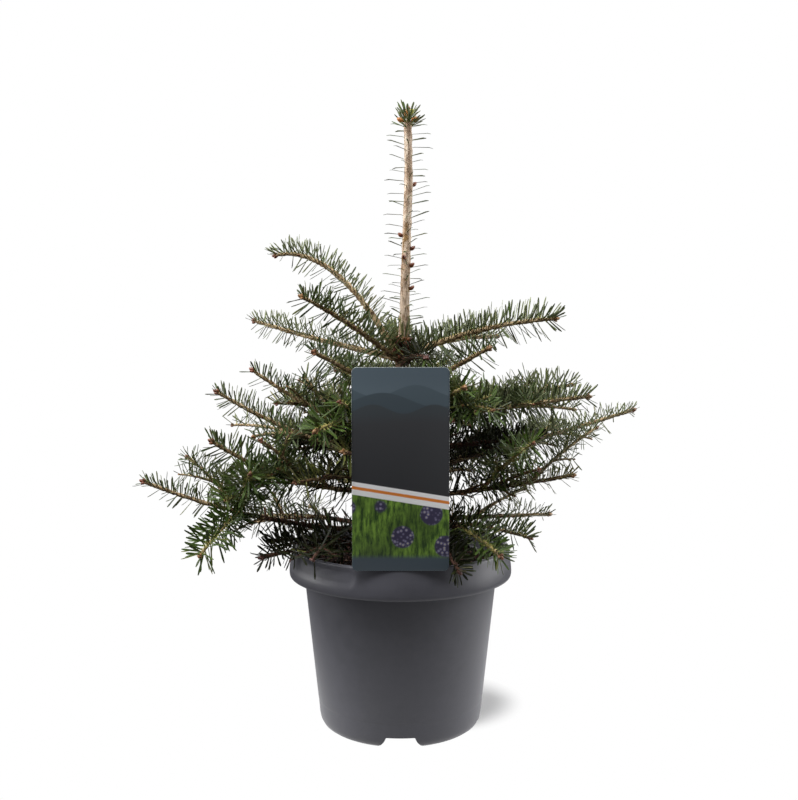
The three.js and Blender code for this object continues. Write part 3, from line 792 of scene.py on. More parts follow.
def make_pot():
    bm = turned(densely(pot_profile(), POT_STEP), POT_SEGMENTS)
    press_field(bm)
    shell = mesh_of(bm, "pot_shell")
    cutters = [notch_cutter(2 * math.pi * i / NOTCHES) for i in range(NOTCHES)]
    count = DRAINS["count"]
    cutters += [drain_cutter(2 * math.pi * (i + 0.5) / count) for i in range(count)]
    mesh = smoothed(carved(shell, cutters), 32)
    piece("pot_shell", mesh, [pot_plastic()], ["pot"])


# --- soil ---


def soil_height(x, y):
    """The lie of the soil: a low mound at the trunk, a dip round it, and lumps."""
    radius = math.hypot(x, y)
    dip = SOIL["dip"] * smooth_step(radius, SOIL["middle"], SOIL["dip_radius"])
    lumps = noise.noise(Vector((x, y, 0)) / 14) * 1.3 + noise.noise(Vector((x, y, 5)) / 5) * 0.7
    return SOIL["top"] - dip + lumps * smooth_step(radius, 8, 20)


def soil_bed():
    """The plug of peat, with a rough top."""
    edge, top = SOIL["edge"], SOIL["top"]
    low = POT["floor_top"] + GAP
    side = [(0, low), (63.9, low), (66.1, low + 2), *SOIL_SIDE]
    level = [(edge * share, top) for share in np.linspace(1, 0, SOIL_MESH["rings"])]
    bm = turned([np.array(point, float) for point in side + level], SOIL_MESH["segments"])
    for vert in bm.verts:
        if vert.co.z > top - 0.5:
            vert.co.z = soil_height(vert.co.x, vert.co.y) - 0.6  # the crumbs stand over it
    peat = potting_soil("peat", "#2a1d17", "#4a3427")
    piece("soil_bed", mesh_of(bm, "soil_bed", 80), [peat], ["soil"])


def template(bm):
    """The points of a small bmesh, and its faces' corner counts, corners, normals and middles."""
    bm.verts.index_update()
    bm.normal_update()
    shape = {
        "points": np.array([v.co for v in bm.verts]),
        "sizes": np.array([len(f.verts) for f in bm.faces]),
        "corners": np.array([v.index for f in bm.faces for v in f.verts]),
        "normals": np.array([f.normal for f in bm.faces]),
        "middles": np.array([f.calc_center_median() for f in bm.faces]),
    }
    bm.free()
    return shape


def joined_mesh(name, points, sizes, corners, tones, sharp=None):
    """One mesh from arrays in millimetres."""
    mesh = bpy.data.meshes.new(name)
    mesh.vertices.add(len(points))
    mesh.vertices.foreach_set("co", (points * MM).astype(np.float32).ravel())
    mesh.loops.add(len(corners))
    mesh.loops.foreach_set("vertex_index", corners.astype(np.int32))
    mesh.polygons.add(len(sizes))
    starts = np.concatenate([[0], np.cumsum(sizes)[:-1]])
    mesh.polygons.foreach_set("loop_start", starts.astype(np.int32))
    mesh.polygons.foreach_set("material_index", tones.astype(np.int32))
    mesh.update(calc_edges=True)
    mesh.validate()
    return smoothed(mesh, sharp)


def copies(name, shape, points, tones, sharp=None):
    """Joins copies of a template whose points are already placed, as (copies, points, 3)."""
    count, each, _ = points.shape
    corners = shape["corners"][None, :] + each * np.arange(count)[:, None]
    sizes = np.tile(shape["sizes"], count)
    return joined_mesh(name, points.reshape(-1, 3), sizes, corners.ravel(), tones.ravel(), sharp)


def set_out(roots, local, axes, sizes):
    """Local points along three axes for each copy, stretched along them and moved to its root."""
    points = roots[:, None]
    for number, (axis, size) in enumerate(zip(axes, sizes)):
        points = points + axis[:, None] * local[..., number:number + 1] * size[:, None, None]
    return points


def any_frames(rng, count):
    """Random right-handed frames, as three arrays of unit vectors."""
    first = unit(rng.normal(size=(count, 3)))
    second = unit(np.cross(first, rng.normal(size=(count, 3))))
    return first, second, np.cross(first, second)


def soil_crumbs():
    """Crumbs of peat and bits of bark that lie on the soil."""
    rng = draws("crumbs")
    bm = bmesh.new()
    bmesh.ops.create_icosphere(bm, subdivisions=1, radius=1)
    shape = template(bm)
    angle = vary(rng, 0, 2 * math.pi, CRUMBS)
    inner, outer = CRUMB_RING
    radius = inner + (outer - inner) * np.sqrt(rng.random(CRUMBS))
    x, y = radius * np.cos(angle), radius * np.sin(angle)
    z = np.array([soil_height(a, b) for a, b in zip(x, y)])
    size = 0.55 + 1.5 * rng.random(CRUMBS) ** 3
    long = 1 + 1.6 * rng.random(CRUMBS) ** 4
    axes = any_frames(rng, CRUMBS)
    rough = vary(rng, 0.825, 1.175, (CRUMBS, len(shape["points"]), 1))
    roots = np.stack([x, y, z - 0.2], 1)
    points = set_out(roots, shape["points"][None] * rough, axes, (size * long, size, 0.7 * size))
    shares = [share for _, _, share in CRUMB_TONES.values()]
    tones = rng.choice(len(shares), CRUMBS, p=shares)
    tones = np.repeat(tones[:, None], len(shape["sizes"]), 1)
    materials = [
        potting_soil(f"crumb_{name}", colour, lighter)
        for name, (colour, lighter, _) in CRUMB_TONES.items()
    ]
    piece("soil_crumbs", copies("soil_crumbs", shape, points, tones), materials)


# --- card ---


def plain_card(finish):
    """The unprinted plastic of the card's back and its tongue, as a colour."""
    return finish.mottled(tone("#c9ccca"), 30.0, 0.1)["Color"]


def card_hills(shader, x, z):
    """Soft hills under a grey sky, down to a dark plain field."""

    def lay(picture, middle, height, length, phase, colour, soft=0.35):
        wave = shader.math("SINE", shader.math("MULTIPLY_ADD", x, 2 * math.pi / length, phase))
        line = shader.math("MULTIPLY_ADD", wave, height, middle)
        below = shader.range(shader.math("SUBTRACT", line, z), -soft, soft)
        return shader.mix(below, picture, tone(colour))

    picture = shader.mix(shader.range(z, 118, 158), tone("#59666f"), tone("#4a565f"))
    picture = lay(picture, 140, 4.5, 62, 0.4, "#46525a")
    picture = lay(picture, 133, 5.5, 84, 2.6, "#3d474e")
    picture = lay(picture, 126, 3.5, 47, 4.4, "#3a3f43")
    return lay(picture, 118, 1.5, 150, 1.0, "#3a3b3e", soft=6)


def card_meadow(shader):
    """Grass in light and shade with round clusters of berries."""
    source = shader.place(scale=(1 / MM, 0.0, 1 / MM))
    blades = shader.place(scale=(1.0 / MM, 0.0, 0.22 / MM), turn=(0, 0.25, 0))
    grass = shader.range(shader.noise(blades, 0.35, detail=5.0, roughness=0.7), 0.36, 0.66)
    meadow = shader.mix(grass, tone("#2f4a22"), tone("#8fb84c"))
    shade = shader.range(shader.noise(source, 0.045, detail=2.0), 0.4, 0.62)
    meadow = shader.mix(shader.math("MULTIPLY", shade, 0.55), meadow, tone("#27391f"))
    flower = shader.range(shader.cells(source, 0.042, randomness=0.6), 0.4, 0.34)
    berries = shader.cells(source, 0.34)
    bloom = shader.mix(shader.range(berries, 0.15, 0.55), tone("#9590b0"), tone("#413c56"))
    bloom = shader.mix(shader.range(berries, 0.16, 0.1), bloom, tone("#d8cf6a"))
    return shader.mix(flower, meadow, bloom)


def card_print():
    """A printed picture with no lettering: soft hills, a plain field, a pale sweep and a meadow."""
    finish = Finish("card_print", roughness=0.32)
    shader = finish.shader
    x, y, height = shader.split(shader.place(scale=(1 / MM, 1 / MM, 1 / MM)))
    z = shader.math("SUBTRACT", height, CARD["bottom"])
    picture = card_hills(shader, x, z)
    # The pale sweep and its ochre line, both straight, over the meadow.
    slope = shader.math("MULTIPLY_ADD", x, -0.16, 64)
    for drop, colour in [
        (0, tone("#ffffff")), (3.4, tone("#e8893a")), (5.8, tone("#ffffff")),
        (10.0, card_meadow(shader)),
    ]:
        depth = shader.math("SUBTRACT", shader.math("SUBTRACT", slope, drop), z)
        picture = shader.mix(shader.range(depth, -0.35, 0.35), picture, colour)
    picture = shader.mix(shader.range(z, 9, 13.5), tone("#4f5c66"), picture)

    # The back of the card and its edges are plain.
    normal = shader.node("ShaderNodeNewGeometry").outputs["Normal"]
    facing = shader.range(shader.split(normal)[1], -0.6, -0.8)
    near = shader.range(y, CARD["back"] - 0.2, CARD["back"] - 0.5)
    front = shader.math("MULTIPLY", facing, near)
    finish.colour(shader.mix(front, plain_card(finish), picture))
    finish.grained(1100.0, 0.02, 0.4)
    return finish.material


def card_sheet(bm):
    """The card upright, its broad side to the front, its corners and edges rounded."""
    half, height = CARD["width"] / 2, CARD["height"]
    outline = [(-half, 0), (half, 0), (half, height), (-half, height)]
    verts = [bm.verts.new((x, 0, z)) for x, z in outline]
    bm.faces.new(verts)
    bevelled(bm, "VERTICES", verts, CARD["corner"], 8)
    pushed_out(bm, CARD["thick"])
    rims = [e for e in bm.edges if e.is_manifold and e.calc_face_angle(0) > 1.2]
    bevelled(bm, "EDGES", rims, 0.15, 2)
    place = (0, CARD["back"] - CARD["thick"], CARD["bottom"])
    bmesh.ops.translate(bm, vec=place, verts=bm.verts)


def card_tongue(bm):
    """The strip that leaves the card's foot, passes over the rim and hangs inside it."""
    thick, half = CARD["thick"], TONGUE["width"] / 2
    over = POT["height"] + GAP
    back, front = CARD["back"] - thick / 2, TONGUE["front"] + thick / 2
    route = rounded([
        (back, over + 6, 0), (back, over + thick / 2, 1.2), (front, over + thick / 2, 1.2),
        (front, TONGUE["bottom"], 0),
    ])
    line = [bm.verts.new((-half, y, z)) for y, z in route]
    edges = [bm.edges.new(pair) for pair in zip(line, line[1:])]
    made = bmesh.ops.extrude_edge_only(bm, edges=edges)["geom"]
    bmesh.ops.translate(bm, vec=(2 * half, 0, 0), verts=points_of(made))
    strip = [part for part in made if isinstance(part, bmesh.types.BMFace)]
    bmesh.ops.recalc_face_normals(bm, faces=strip)
    bmesh.ops.solidify(bm, geom=strip, thickness=thick)


def make_card():
    sheet = bmesh.new()
    card_sheet(sheet)
    mesh = mesh_of(sheet, "picture_card", 50)
    piece("picture_card", mesh, [card_print()], ["care_card"])
    strip = bmesh.new()
    card_tongue(strip)
    plastic = Finish("card_plastic", roughness=0.4)
    plastic.colour(plain_card(plastic))
    piece("card_tongue", mesh_of(strip, "card_tongue", 50), [plastic.material])


# --- growth rule ---


def direction(heading, rise):
    heading, rise = np.broadcast_arrays(np.radians(heading), np.radians(rise))
    return np.stack(
        [np.cos(heading) * np.cos(rise), np.sin(heading) * np.cos(rise), np.sin(rise)], -1
    )


def across(forward):
    """Right-hand and upward directions across a way."""
    right = unit(np.cross(forward, UP))
    return right, np.cross(right, forward)


def trunk_axis(z):
    z = np.asarray(z, float)
    heights, leans = zip(*LEAN)
    return np.stack([np.interp(z, heights, leans), np.zeros_like(z), z], -1)


def trunk_radius(z):
    heights, radii = zip(*TRUNK_STATIONS)
    return np.interp(np.asarray(z) - TRUNK_FOOT, heights, radii)


class Limb:
    """A limb's middle line: straight from its foot along its heading and rise, bowed upwards."""

    def __init__(self, foot, heading, rise, length, bow):
        self.foot = foot
        self.heading = heading
        self.rise = rise
        self.forward = direction(heading, rise)
        self.length = length
        self.bow = bow

    def at(self, share):
        share = np.asarray(share, float)[..., None]
        lift = 4 * self.bow * self.length * share * (1 - share)
        return self.foot + self.forward * self.length * share + UP * lift

    def way(self, share):
        share = np.asarray(share, float)
        return unit(self.at(share + 0.01) - self.at(share - 0.01))


class Shoot:
    """A limb with the stretch that bears needles, its radii, kind, spray and density."""

    def __init__(self, limb, first, radii, kind, spray, density):
        self.limb = limb
        self.first = first
        self.radii = radii
        self.kind = kind
        self.spray = spray
        self.density = density
        self.tint, self.size = spray

    def radius(self, share):
        return self.radii[0] + (self.radii[1] - self.radii[0]) * np.asarray(share)


def foot_on_trunk(height, heading, rise, bow, radius):
    slope = math.radians(rise) + math.atan(4 * bow)
    away = trunk_radius(height) + GAP + radius * abs(math.sin(slope))
    return trunk_axis(height) + direction(heading, 0) * away


def blocked(points):
    """Which points lie in the pot's wall, in the soil or at the card, or 1 to 3 mm from them."""
    x, y, z = points[..., 0], points[..., 1], points[..., 2]
    radius = np.hypot(x, y)
    in_pot = (z < POT["height"] + 1.2) & (radius < POT["lip_radius"] + 1.2)
    over_soil = (z > SOIL["top"] + 1.5) & (radius < POT["rim_radius"] - 4.4)
    beside_card = (np.abs(x) < CARD["width"] / 2 + 1) & (y < CARD["back"] + 1.4)
    card_high = (z < CARD["bottom"] + CARD["height"] + 1.5) & (z > CARD["bottom"] - 2)
    at_tongue = (np.abs(x) < TONGUE["width"] / 2 + 1) & (y < TONGUE["front"] + 2.4)
    tongue_high = (z < POT["height"] + 3) & (radius < POT["lip_radius"] + 1)
    return (in_pot & ~over_soil) | (beside_card & card_high) | (at_tongue & tongue_high)


def twiglets(shoot, count, rng):
    """Short third-order twigs that leave a shoot to its two sides in turn."""
    made = []
    limb = shoot.limb
    _, reach, start, end = TWIGLETS[shoot.kind]
    for i in range(count):
        share = start + (end - start) * (i + vary(rng, 0.2, 0.8)) / count
        side = 1 if i % 2 else -1
        heading = limb.heading + side * (FORK + vary(rng, -8, 8))
        rise = 0.6 * limb.rise + vary(rng, *TWIG_RISE)
        length = reach * vary(rng, 0.7, 1.25)
        twig = Limb(limb.at(share), heading, rise, length, SIDE_BOW)
        if not blocked(twig.at(np.linspace(0.2, 1, 6))).any():
            made.append(Shoot(twig, 0, TWIGLET_RADIUS, "twiglet", shoot.spray, shoot.density))
    return made


def twiglet_count(name, shoot, bare):
    """How many third-order twigs a bough's own shoot or one of its side shoots bears."""
    wanted = TWIG_COUNTS.get(name, TWIGLETS["main"][0] if bare else 0)
    if shoot.kind == "main":
        return wanted
    lacking = shoot.limb.length < SHORT or shoot.limb.rise < DROOP or TWIG_COUNTS.get(name) == 0
    return 0 if lacking else TWIGLETS["side"][0]


def lay_out(index, row):
    """Every shoot of one bough: the bough itself, its side shoots and their twiglets."""
    name, height, heading, rise, reach, bow, bare, sides = row
    rng = draws("boughs", index)
    spray = SPRAYS.get(name, SPRAY_TURNS[index % len(SPRAY_TURNS)])
    density = DENSITY.get(name, 1.0)
    radius = BOUGH_RADIUS[0] if bare else SHOOT_RADIUS[0]
    foot = foot_on_trunk(height, heading, rise, bow, radius)
    limb = Limb(foot, heading, rise, reach - PAST_END, bow)
    radii = SHOOT_RADIUS if bare else STOUT_RADIUS
    shoots = [Shoot(limb, bare, radii, "main", spray, density)]
    for number, (share, side_heading, side_rise, side_reach) in enumerate(sides):
        side = Limb(limb.at(share), side_heading, side_rise, side_reach - PAST_END, SIDE_BOW)
        label = f"{name}.{number}"
        own = SPRAYS.get(label, spray), DENSITY.get(label, density)
        shoots.append(Shoot(side, 0, SIDE_RADIUS, "side", *own))
    grown = list(shoots)
    for shoot in shoots:
        grown += twiglets(shoot, twiglet_count(name, shoot, bare), rng)
    return grown


PLAN = [lay_out(index, row) for index, row in enumerate(BOUGHS)]
SHOOTS = [shoot for shoots in PLAN for shoot in shoots]


# --- wood ---


def bark_relief(centre, outward):
    """Fissures and small plates, in millimetres."""
    point = Vector(centre) + outward * 5
    fine = noise.noise(Vector((point.x, point.y, point.z * 0.35)) * 0.9)
    coarse = noise.noise(Vector((point.x, point.y, point.z * 0.6)) * 0.28)
    return 0.22 * fine + 0.3 * coarse


def trunk_relief(centre, outward):
    """Bark, rougher over the whorl, with a swelling at every bough's foot."""
    rough, sunk = (1.9, 0.3) if centre[2] > WHORL else (1, 0.1)
    proud = bark_relief(centre, outward) * rough - sunk
    heading = math.degrees(math.atan2(outward.y, outward.x))
    for row in BOUGHS:
        turn = abs((heading - row[2] + 180) % 360 - 180)
        rise = (centre[2] - row[1]) / SWELLING["height"]
        if turn < 80 and abs(rise) < 2.2:
            proud += SWELLING["proud"] * math.exp(-rise * rise - (turn / SWELLING["turn"]) ** 2)
    return proud


def make_trunk():
    bm = bmesh.new()
    sides, step = WOOD_MESH["trunk"]
    heights = np.append(np.arange(TRUNK_FOOT, TRUNK_TOP, step), TRUNK_TOP - 0.1)
    right, over = np.array([1.0, 0, 0]), np.array([0, 1.0, 0])
    stations = [(trunk_axis(z), right, over, float(trunk_radius(z))) for z in heights]
    drawn_out(bm, sides, stations, trunk_relief)
    mesh = mesh_of(bm, "trunk_bark", 60)
    wood = bark("trunk_old", "#5d4436", "#86705c")
    leader = bark("trunk_young", "#a98f79", "#d6c1ab", depth=0.7, patch="#82643f")
    piece("trunk_bark", mesh, [wood, leader], ["trunk"])
    # The leader's pale bark starts in an uneven line over the whorl.
    leader_from = (WHORL + 6) * MM
    for face in mesh.polygons:
        wander = 0.004 * noise.noise(face.center * 300)
        face.material_index = int(face.center.z + wander > leader_from)


def limb_stations(limb, shares, radii):
    stations = []
    for share, radius in zip(shares, radii):
        right, over = across(limb.way(share))
        stations.append((limb.at(share), right, over, float(radius)))
    return stations


def make_boughs():
    """The older wood of every bough, from inside the trunk's bark to the start of its shoots."""
    bm = bmesh.new()
    nodes = []
    sides, step = WOOD_MESH["bough"]
    for shoots, row in zip(PLAN, BOUGHS):
        limb, bare = shoots[0].limb, row[6]
        if not bare:
            continue
        nodes.append(f"bough_{row[0]}")
        count = int(bare * limb.length / step)
        sunk, past = -2.6 / limb.length, bare + 0.012
        shares = np.append(sunk, np.linspace(0, past, count))
        along = np.clip(shares / bare, 0, 1)
        radii = BOUGH_RADIUS[0] + (BOUGH_RADIUS[1] - BOUGH_RADIUS[0]) * along ** 0.7
        radii = radii + 0.8 * np.exp(-((along / 0.07) ** 2))  # a collar at the foot
        drawn_out(bm, sides, limb_stations(limb, shares, radii), bark_relief)
    wood = bark("bough_wood", "#544035", "#745c4b")
    piece("bough_bark", mesh_of(bm, "bough_bark", 60), [wood], nodes)


def twig_arrays(shoot, rng):
    """Points and faces of one twig with the low pads its needles stand on."""
    limb = shoot.limb
    sides, step = WOOD_MESH[shoot.kind]
    start = shoot.first if shoot.first else -2.0 / limb.length
    count = max(4, int((1 - start) * limb.length / step))
    shares = np.linspace(start, 1.0, count + 1)
    right, over = across(limb.way(shares))
    turn = np.arange(sides) * 2 * math.pi / sides
    rough = vary(rng, 0.85, 1.45, (count + 1, sides))
    radii = shoot.radius(np.clip(shares, 0, 1))[:, None] * rough
    radii[-1] *= 0.5
    points = (
        limb.at(shares)[:, None]
        + right[:, None] * (np.sin(turn) * radii)[..., None]
        + over[:, None] * (np.cos(turn) * radii)[..., None]
    )
    ring = np.arange(sides)
    after = (ring + 1) % sides
    rows = np.arange(count)[:, None] * sides
    quads = np.stack([rows + ring, rows + after, rows + sides + after, rows + sides + ring], -1)
    caps = np.concatenate([ring[::-1], count * sides + ring])
    sizes = np.concatenate([np.full(count * sides, 4), [sides, sides]])
    return points.reshape(-1, 3), sizes, np.concatenate([quads.ravel(), caps])


def make_twigs():
    """All young wood, joined: its colour goes by spray, and is dark on the low boughs' old part."""
    rng = draws("twigs")
    parts = []
    offset = 0
    for shoot in SHOOTS:
        points, sizes, corners = twig_arrays(shoot, rng)
        skin, pads = TWIG_BY_TINT[shoot.tint]
        tints = np.where(rng.random(len(sizes)) < PAD_SHARE, pads, skin)
        if shoot.first and shoot.limb.foot[2] < RUST["top"]:
            along = np.linspace(shoot.first, 1, len(sizes)) + vary(rng, -0.1, 0.1, len(sizes))
            tints = np.where(along < RUST["until"], DARK, tints)
        parts.append((points, sizes, corners + offset, tints))
        offset += len(points)
    arrays = (np.concatenate(column) for column in zip(*parts))
    materials = [
        bark("twig_beige", "#b9a280", "#8f7b5b", rough=0.7),
        bark("twig_olive", "#7f7642", "#95874f", rough=0.65),
        bark("twig_brown", "#5f4934", "#866e4e", rough=0.75),
        bark("twig_dark", "#3a2820", "#54392c", rough=0.8),
    ]
    piece("shoot_twigs", joined_mesh("shoot_twigs", *arrays), materials)


# --- needles ---


def needle_template():
    """A flat blunt needle along +Z, one unit long and broad, flat above (+Y) and keeled below."""
    bm = bmesh.new()
    right, over = np.array([1.0, 0, 0]), np.array([0, -1.0, 0])
    outline = [(0, 0.55), (NEEDLE_FOOT, 0.65), (0.84, 1.0), (1.0, 0.45)]
    drawn_out(bm, 3, [(np.array([0, 0, z]), right, over, 0.5) for z, _ in outline])
    for vert in bm.verts:
        width = min(outline, key=lambda row: abs(row[0] - vert.co.z))[1]
        vert.co.x *= width / math.sin(math.radians(120))
        vert.co.y *= width ** 0.5
    bmesh.ops.recalc_face_normals(bm, faces=bm.faces)
    return template(bm)


class Needles:
    """Growing lists of needles, one array for each of their qualities."""

    def __init__(self):
        self.rows = []

    def add(self, **qualities):
        self.rows.append(qualities)

    def joined(self):
        return {key: np.concatenate([row[key] for row in self.rows]) for key in self.rows[0]}


def needle_turns(count, tint, rng):
    """Turns about a shoot from its top: dense above and to the sides, with a few below."""
    spiral = (np.arange(count) * GOLDEN + vary(rng, -15, 15, count)) % 360 - 180
    share = np.abs(spiral) / 180
    side = TURN["combed"] if tint in COMBED else TURN["side"]
    spread = TURN["top"] + (side - TURN["top"]) * share ** 0.85
    below = TURN["low"] + (180 - TURN["low"]) * share
    low = rng.random(count) < LOW_SHARE
    return np.sign(spiral) * np.where(low, below, spread)


def needle_leans(share, turn, rng):
    """How far needles lean from the shoot's way, by their turn about it and place along it."""
    lean = LEAN_SIDE + (LEAN_TOP - LEAN_SIDE) * np.cos(np.radians(turn)).clip(0, 1)
    lean = lean + vary(rng, -LEAN_SPREAD, LEAN_SPREAD, len(share))
    return lean + (LEAN_TIP - lean) * near_tip(share) ** 1.5


def near_tip(share):
    return np.clip((share - TIP_FROM) / (1 - TIP_FROM), 0, 1)


def grow(shoot, start, end, per_mm, rng):
    """The needles of one stretch of a shoot."""
    limb = shoot.limb
    beside = COMBED_SHARE if shoot.tint in COMBED else 1
    count = int((end - start) * limb.length * per_mm * shoot.density * beside)
    if count < 2:
        return None
    along = (np.arange(count) + vary(rng, 0, 0.6, count)) / count
    share = start + (end - start) * along
    turn = needle_turns(count, shoot.tint, rng)
    tilt = np.radians(needle_leans(share, turn, rng))[:, None]
    forward = limb.way(share)
    right, over = across(forward)
    sine, cosine = np.sin(np.radians(turn))[:, None], np.cos(np.radians(turn))[:, None]
    aside = right * sine + over * cosine
    length = NEEDLE["length"] * shoot.size * vary(rng, 0.8, 1.14, count)
    length = length * (1 - 0.35 * near_tip(share))
    root = limb.at(share) + aside * (shoot.radius(share) * 0.75)[:, None]
    dead = RUST["share"] * np.clip((RUST["until"] - share) / RUST["fade"], 0, 1) * bool(shoot.first)
    dead = (rng.random(count) < dead) & (root[:, 2] < RUST["top"])
    # Needles deep in the crown take the dark shade tone: painted shade.
    tint = np.where(in_shade(root, rng), TINTS.index("shade"), tint_numbers(shoot.tint, count, rng))
    width = NEEDLE["width"] * NEEDLE_TONES[shoot.tint][2] * shoot.size
    return {
        "root": root,
        "aim": unit(aside * np.sin(tilt) + forward * np.cos(tilt)),
        "face": forward * np.abs(cosine) + over * np.abs(sine),
        "length": np.where(dead, RUST["short"], 1.0) * length,
        "width": width * vary(rng, 0.8, 1.2, count),
        "curl": NEEDLE["curl"] * vary(rng, 0.2, 1.5, count),
        "twist": (44 + 100 * np.abs(cosine[:, 0])) * vary(rng, -0.5, 0.5, count),
        "tint": np.where(dead, TINTS.index("rust"), tint),
    }


def tint_numbers(tint, count, rng):
    """Mostly the spray's own green, with a few needles of the common others."""
    own = TINTS.index(tint)
    other = rng.integers(0, COMMON_TINTS, count)
    share = 0.97 if tint == "shade" else 0.82
    return np.where(rng.random(count) < share, own, other)


def depth_of(points):
    """How deep in the crown points stand: 0 outside, 1 at the trunk."""
    inside = (SHADE["radius"] - np.hypot(points[:, 0], points[:, 1])) / SHADE["soft"]
    below = (SHADE["top"] - points[:, 2]) / SHADE["soft"]
    return np.clip(inside, 0, 1) * np.clip(below, 0, 1)


def in_shade(points, rng):
    """Which needles stand so deep in the crown that they take the dark shade tone, as painted
    shade.
    """
    return rng.random(len(points)) < SHADE["share"] * depth_of(points)


def in_trunk(points):
    """Which points lie in the trunk or just off its bark."""
    aside = np.linalg.norm(points[:, :2] - trunk_axis(points[:, 2])[:, :2], axis=1)
    return (aside < trunk_radius(points[:, 2]) + 0.6) & (points[:, 2] < TRUNK_TOP)


def kept(needles):
    """Leaves out fallen needles and those that would stand in the pot, soil, card or trunk."""
    fallen = draws("fallen").random(len(needles["root"]))
    keep = fallen > SHADE["fallen"] * depth_of(needles["root"])
    for share in (0.35, 0.7, 1.0):
        points = needles["root"] + needles["aim"] * (needles["length"] * share)[:, None]
        keep &= ~blocked(points) & ~in_trunk(points)
    return {key: values[keep] for key, values in needles.items()}


def needle_mesh(name, needles):
    """Places the template at every needle and joins them."""
    shape = needle_template()
    aim = needles["aim"]
    face = unit(needles["face"] - aim * (needles["face"] * aim).sum(1, keepdims=True))
    broad = np.cross(face, aim)
    twist = np.radians(needles["twist"])[:, None]
    face, broad = (
        face * np.cos(twist) + broad * np.sin(twist),
        broad * np.cos(twist) - face * np.sin(twist),
    )
    x, y, z = shape["points"].T
    length = needles["length"][:, None]
    bend = needles["curl"][:, None] * length * z ** 2
    points = (
        needles["root"][:, None]
        + broad[:, None] * (x * needles["width"][:, None])[..., None]
        + aim[:, None] * (z * length)[..., None]
        + face[:, None] * (y * NEEDLE["thick"] + bend)[..., None]
    )
    upper = shape["normals"][:, 1] > 0.3
    foot = shape["middles"][:, 2] < NEEDLE_FOOT
    tint = needles["tint"][:, None]
    # Shade-tone needles keep a dark foot, as painted shade; the dead rust needles keep theirs too.
    pale_foot = foot[None] & (tint < TINTS.index("shade"))
    tones = np.where(pale_foot, 2 * len(TINTS), np.where(upper, 0, 1)[None] + 2 * tint)
    return copies(name, shape, points, tones, sharp=60)


def needle_materials():
    made = []
    for name, (upper, under, _) in NEEDLE_TONES.items():
        gloss = 0.08 if name in DULL else 0.22
        made.append(needle_green(f"needle_{name}", upper, specular=gloss))
        made.append(needle_green(f"needle_{name}_under", under, 0.5, gloss))
    made.append(needle_green("needle_foot", NEEDLE_FOOT_TONE, 0.55))
    return made


def grow_bough(shoots, bare, rng):
    grown = Needles()
    for shoot in shoots:
        start = max(shoot.first, 4 / shoot.limb.length)
        stretch = [grow(shoot, start, 0.995, PER_MM[shoot.kind], rng)]
        if shoot.kind == "main" and bare:
            stretch.append(grow(shoot, 0.3 * bare, bare, PER_MM["bough"], rng))
        for needles in stretch:
            if needles is not None:
                grown.add(**needles)
    return kept(grown.joined())


def leader_needles():
    """Sparse needles round the leader, nearly level, and its tufts."""
    rng = draws("leader")
    leader = Needles()
    bottom, top = WHORL + 6, TRUNK_TOP - 3
    count = int((top - bottom) * PER_MM["leader"])
    z = bottom + (top - bottom) * ((np.arange(count) + vary(rng, 0, 0.5, count)) / count) ** 1.25
    heading = np.arange(count) * GOLDEN + vary(rng, -12, 12, count)
    leader.add(
        root=trunk_axis(z) + direction(heading, 0) * (trunk_radius(z) * 0.85)[:, None],
        aim=direction(heading, vary(rng, 19, 37, count)),
        face=np.tile(UP, (count, 1)),
        length=vary(rng, 12, 17, count),
        width=vary(rng, 1.2, 1.7, count),
        curl=vary(rng, -0.28, -0.52, count),
        twist=vary(rng, -60, 60, count),
        tint=tint_numbers("deep", count, rng),
    )
    for count, low, high, rises, lengths, tint in LEADER_TUFTS:
        away = direction(np.arange(count) * GOLDEN, 0)
        share = rng.random(count)
        height = low + (high - low) * share
        out = np.where(height < TRUNK_TOP, trunk_radius(height), 2.0)
        climb = 0.6 * share + vary(rng, 0, 0.4, count)
        rise = rises[0] + (rises[1] - rises[0]) * climb
        leader.add(
            root=trunk_axis(height) + away * (0.85 * out)[:, None],
            aim=direction(np.arange(count) * GOLDEN, rise),
            face=np.tile(UP, (count, 1)) - away * 0.6,
            length=vary(rng, *lengths, count),
            width=vary(rng, 1.5, 2.0, count),
            curl=vary(rng, 0, 0.14, count),
            twist=vary(rng, -40, 40, count),
            tint=tint_numbers(tint, count, rng),
        )
    return leader.joined()


def make_needles():
    materials = needle_materials()
    for tier, (step, prefixes) in TIERS.items():
        rng = draws("needles", step)
        grown = Needles()
        names = []
        for shoots, row in zip(PLAN, BOUGHS):
            if row[0].startswith(prefixes):
                grown.add(**grow_bough(shoots, row[6], rng))
                names.append(f"mass_{row[0]}")
        mesh = needle_mesh(f"needles_{tier}", grown.joined())
        piece(f"needles_{tier}", mesh, materials, names)
    mesh = needle_mesh("needles_leader", leader_needles())
    piece("needles_leader", mesh, materials, ["leader_tuft"])


# --- buds ---


def bud_template():
    """A plump bud along +Z with a blunt point."""
    bm = bmesh.new()
    bmesh.ops.create_uvsphere(bm, u_segments=8, v_segments=6, radius=1)
    for vert in bm.verts:
        taper = 1 - 0.25 * max(vert.co.z, 0)
        vert.co.x *= taper
        vert.co.y *= taper
    return template(bm)


def bud(shape, root, aim, tint, size=1.0):
    wide, long = BUD_SHAPES[shape]
    return root, aim, wide * size, long * size, BUD.get(tint, tint)


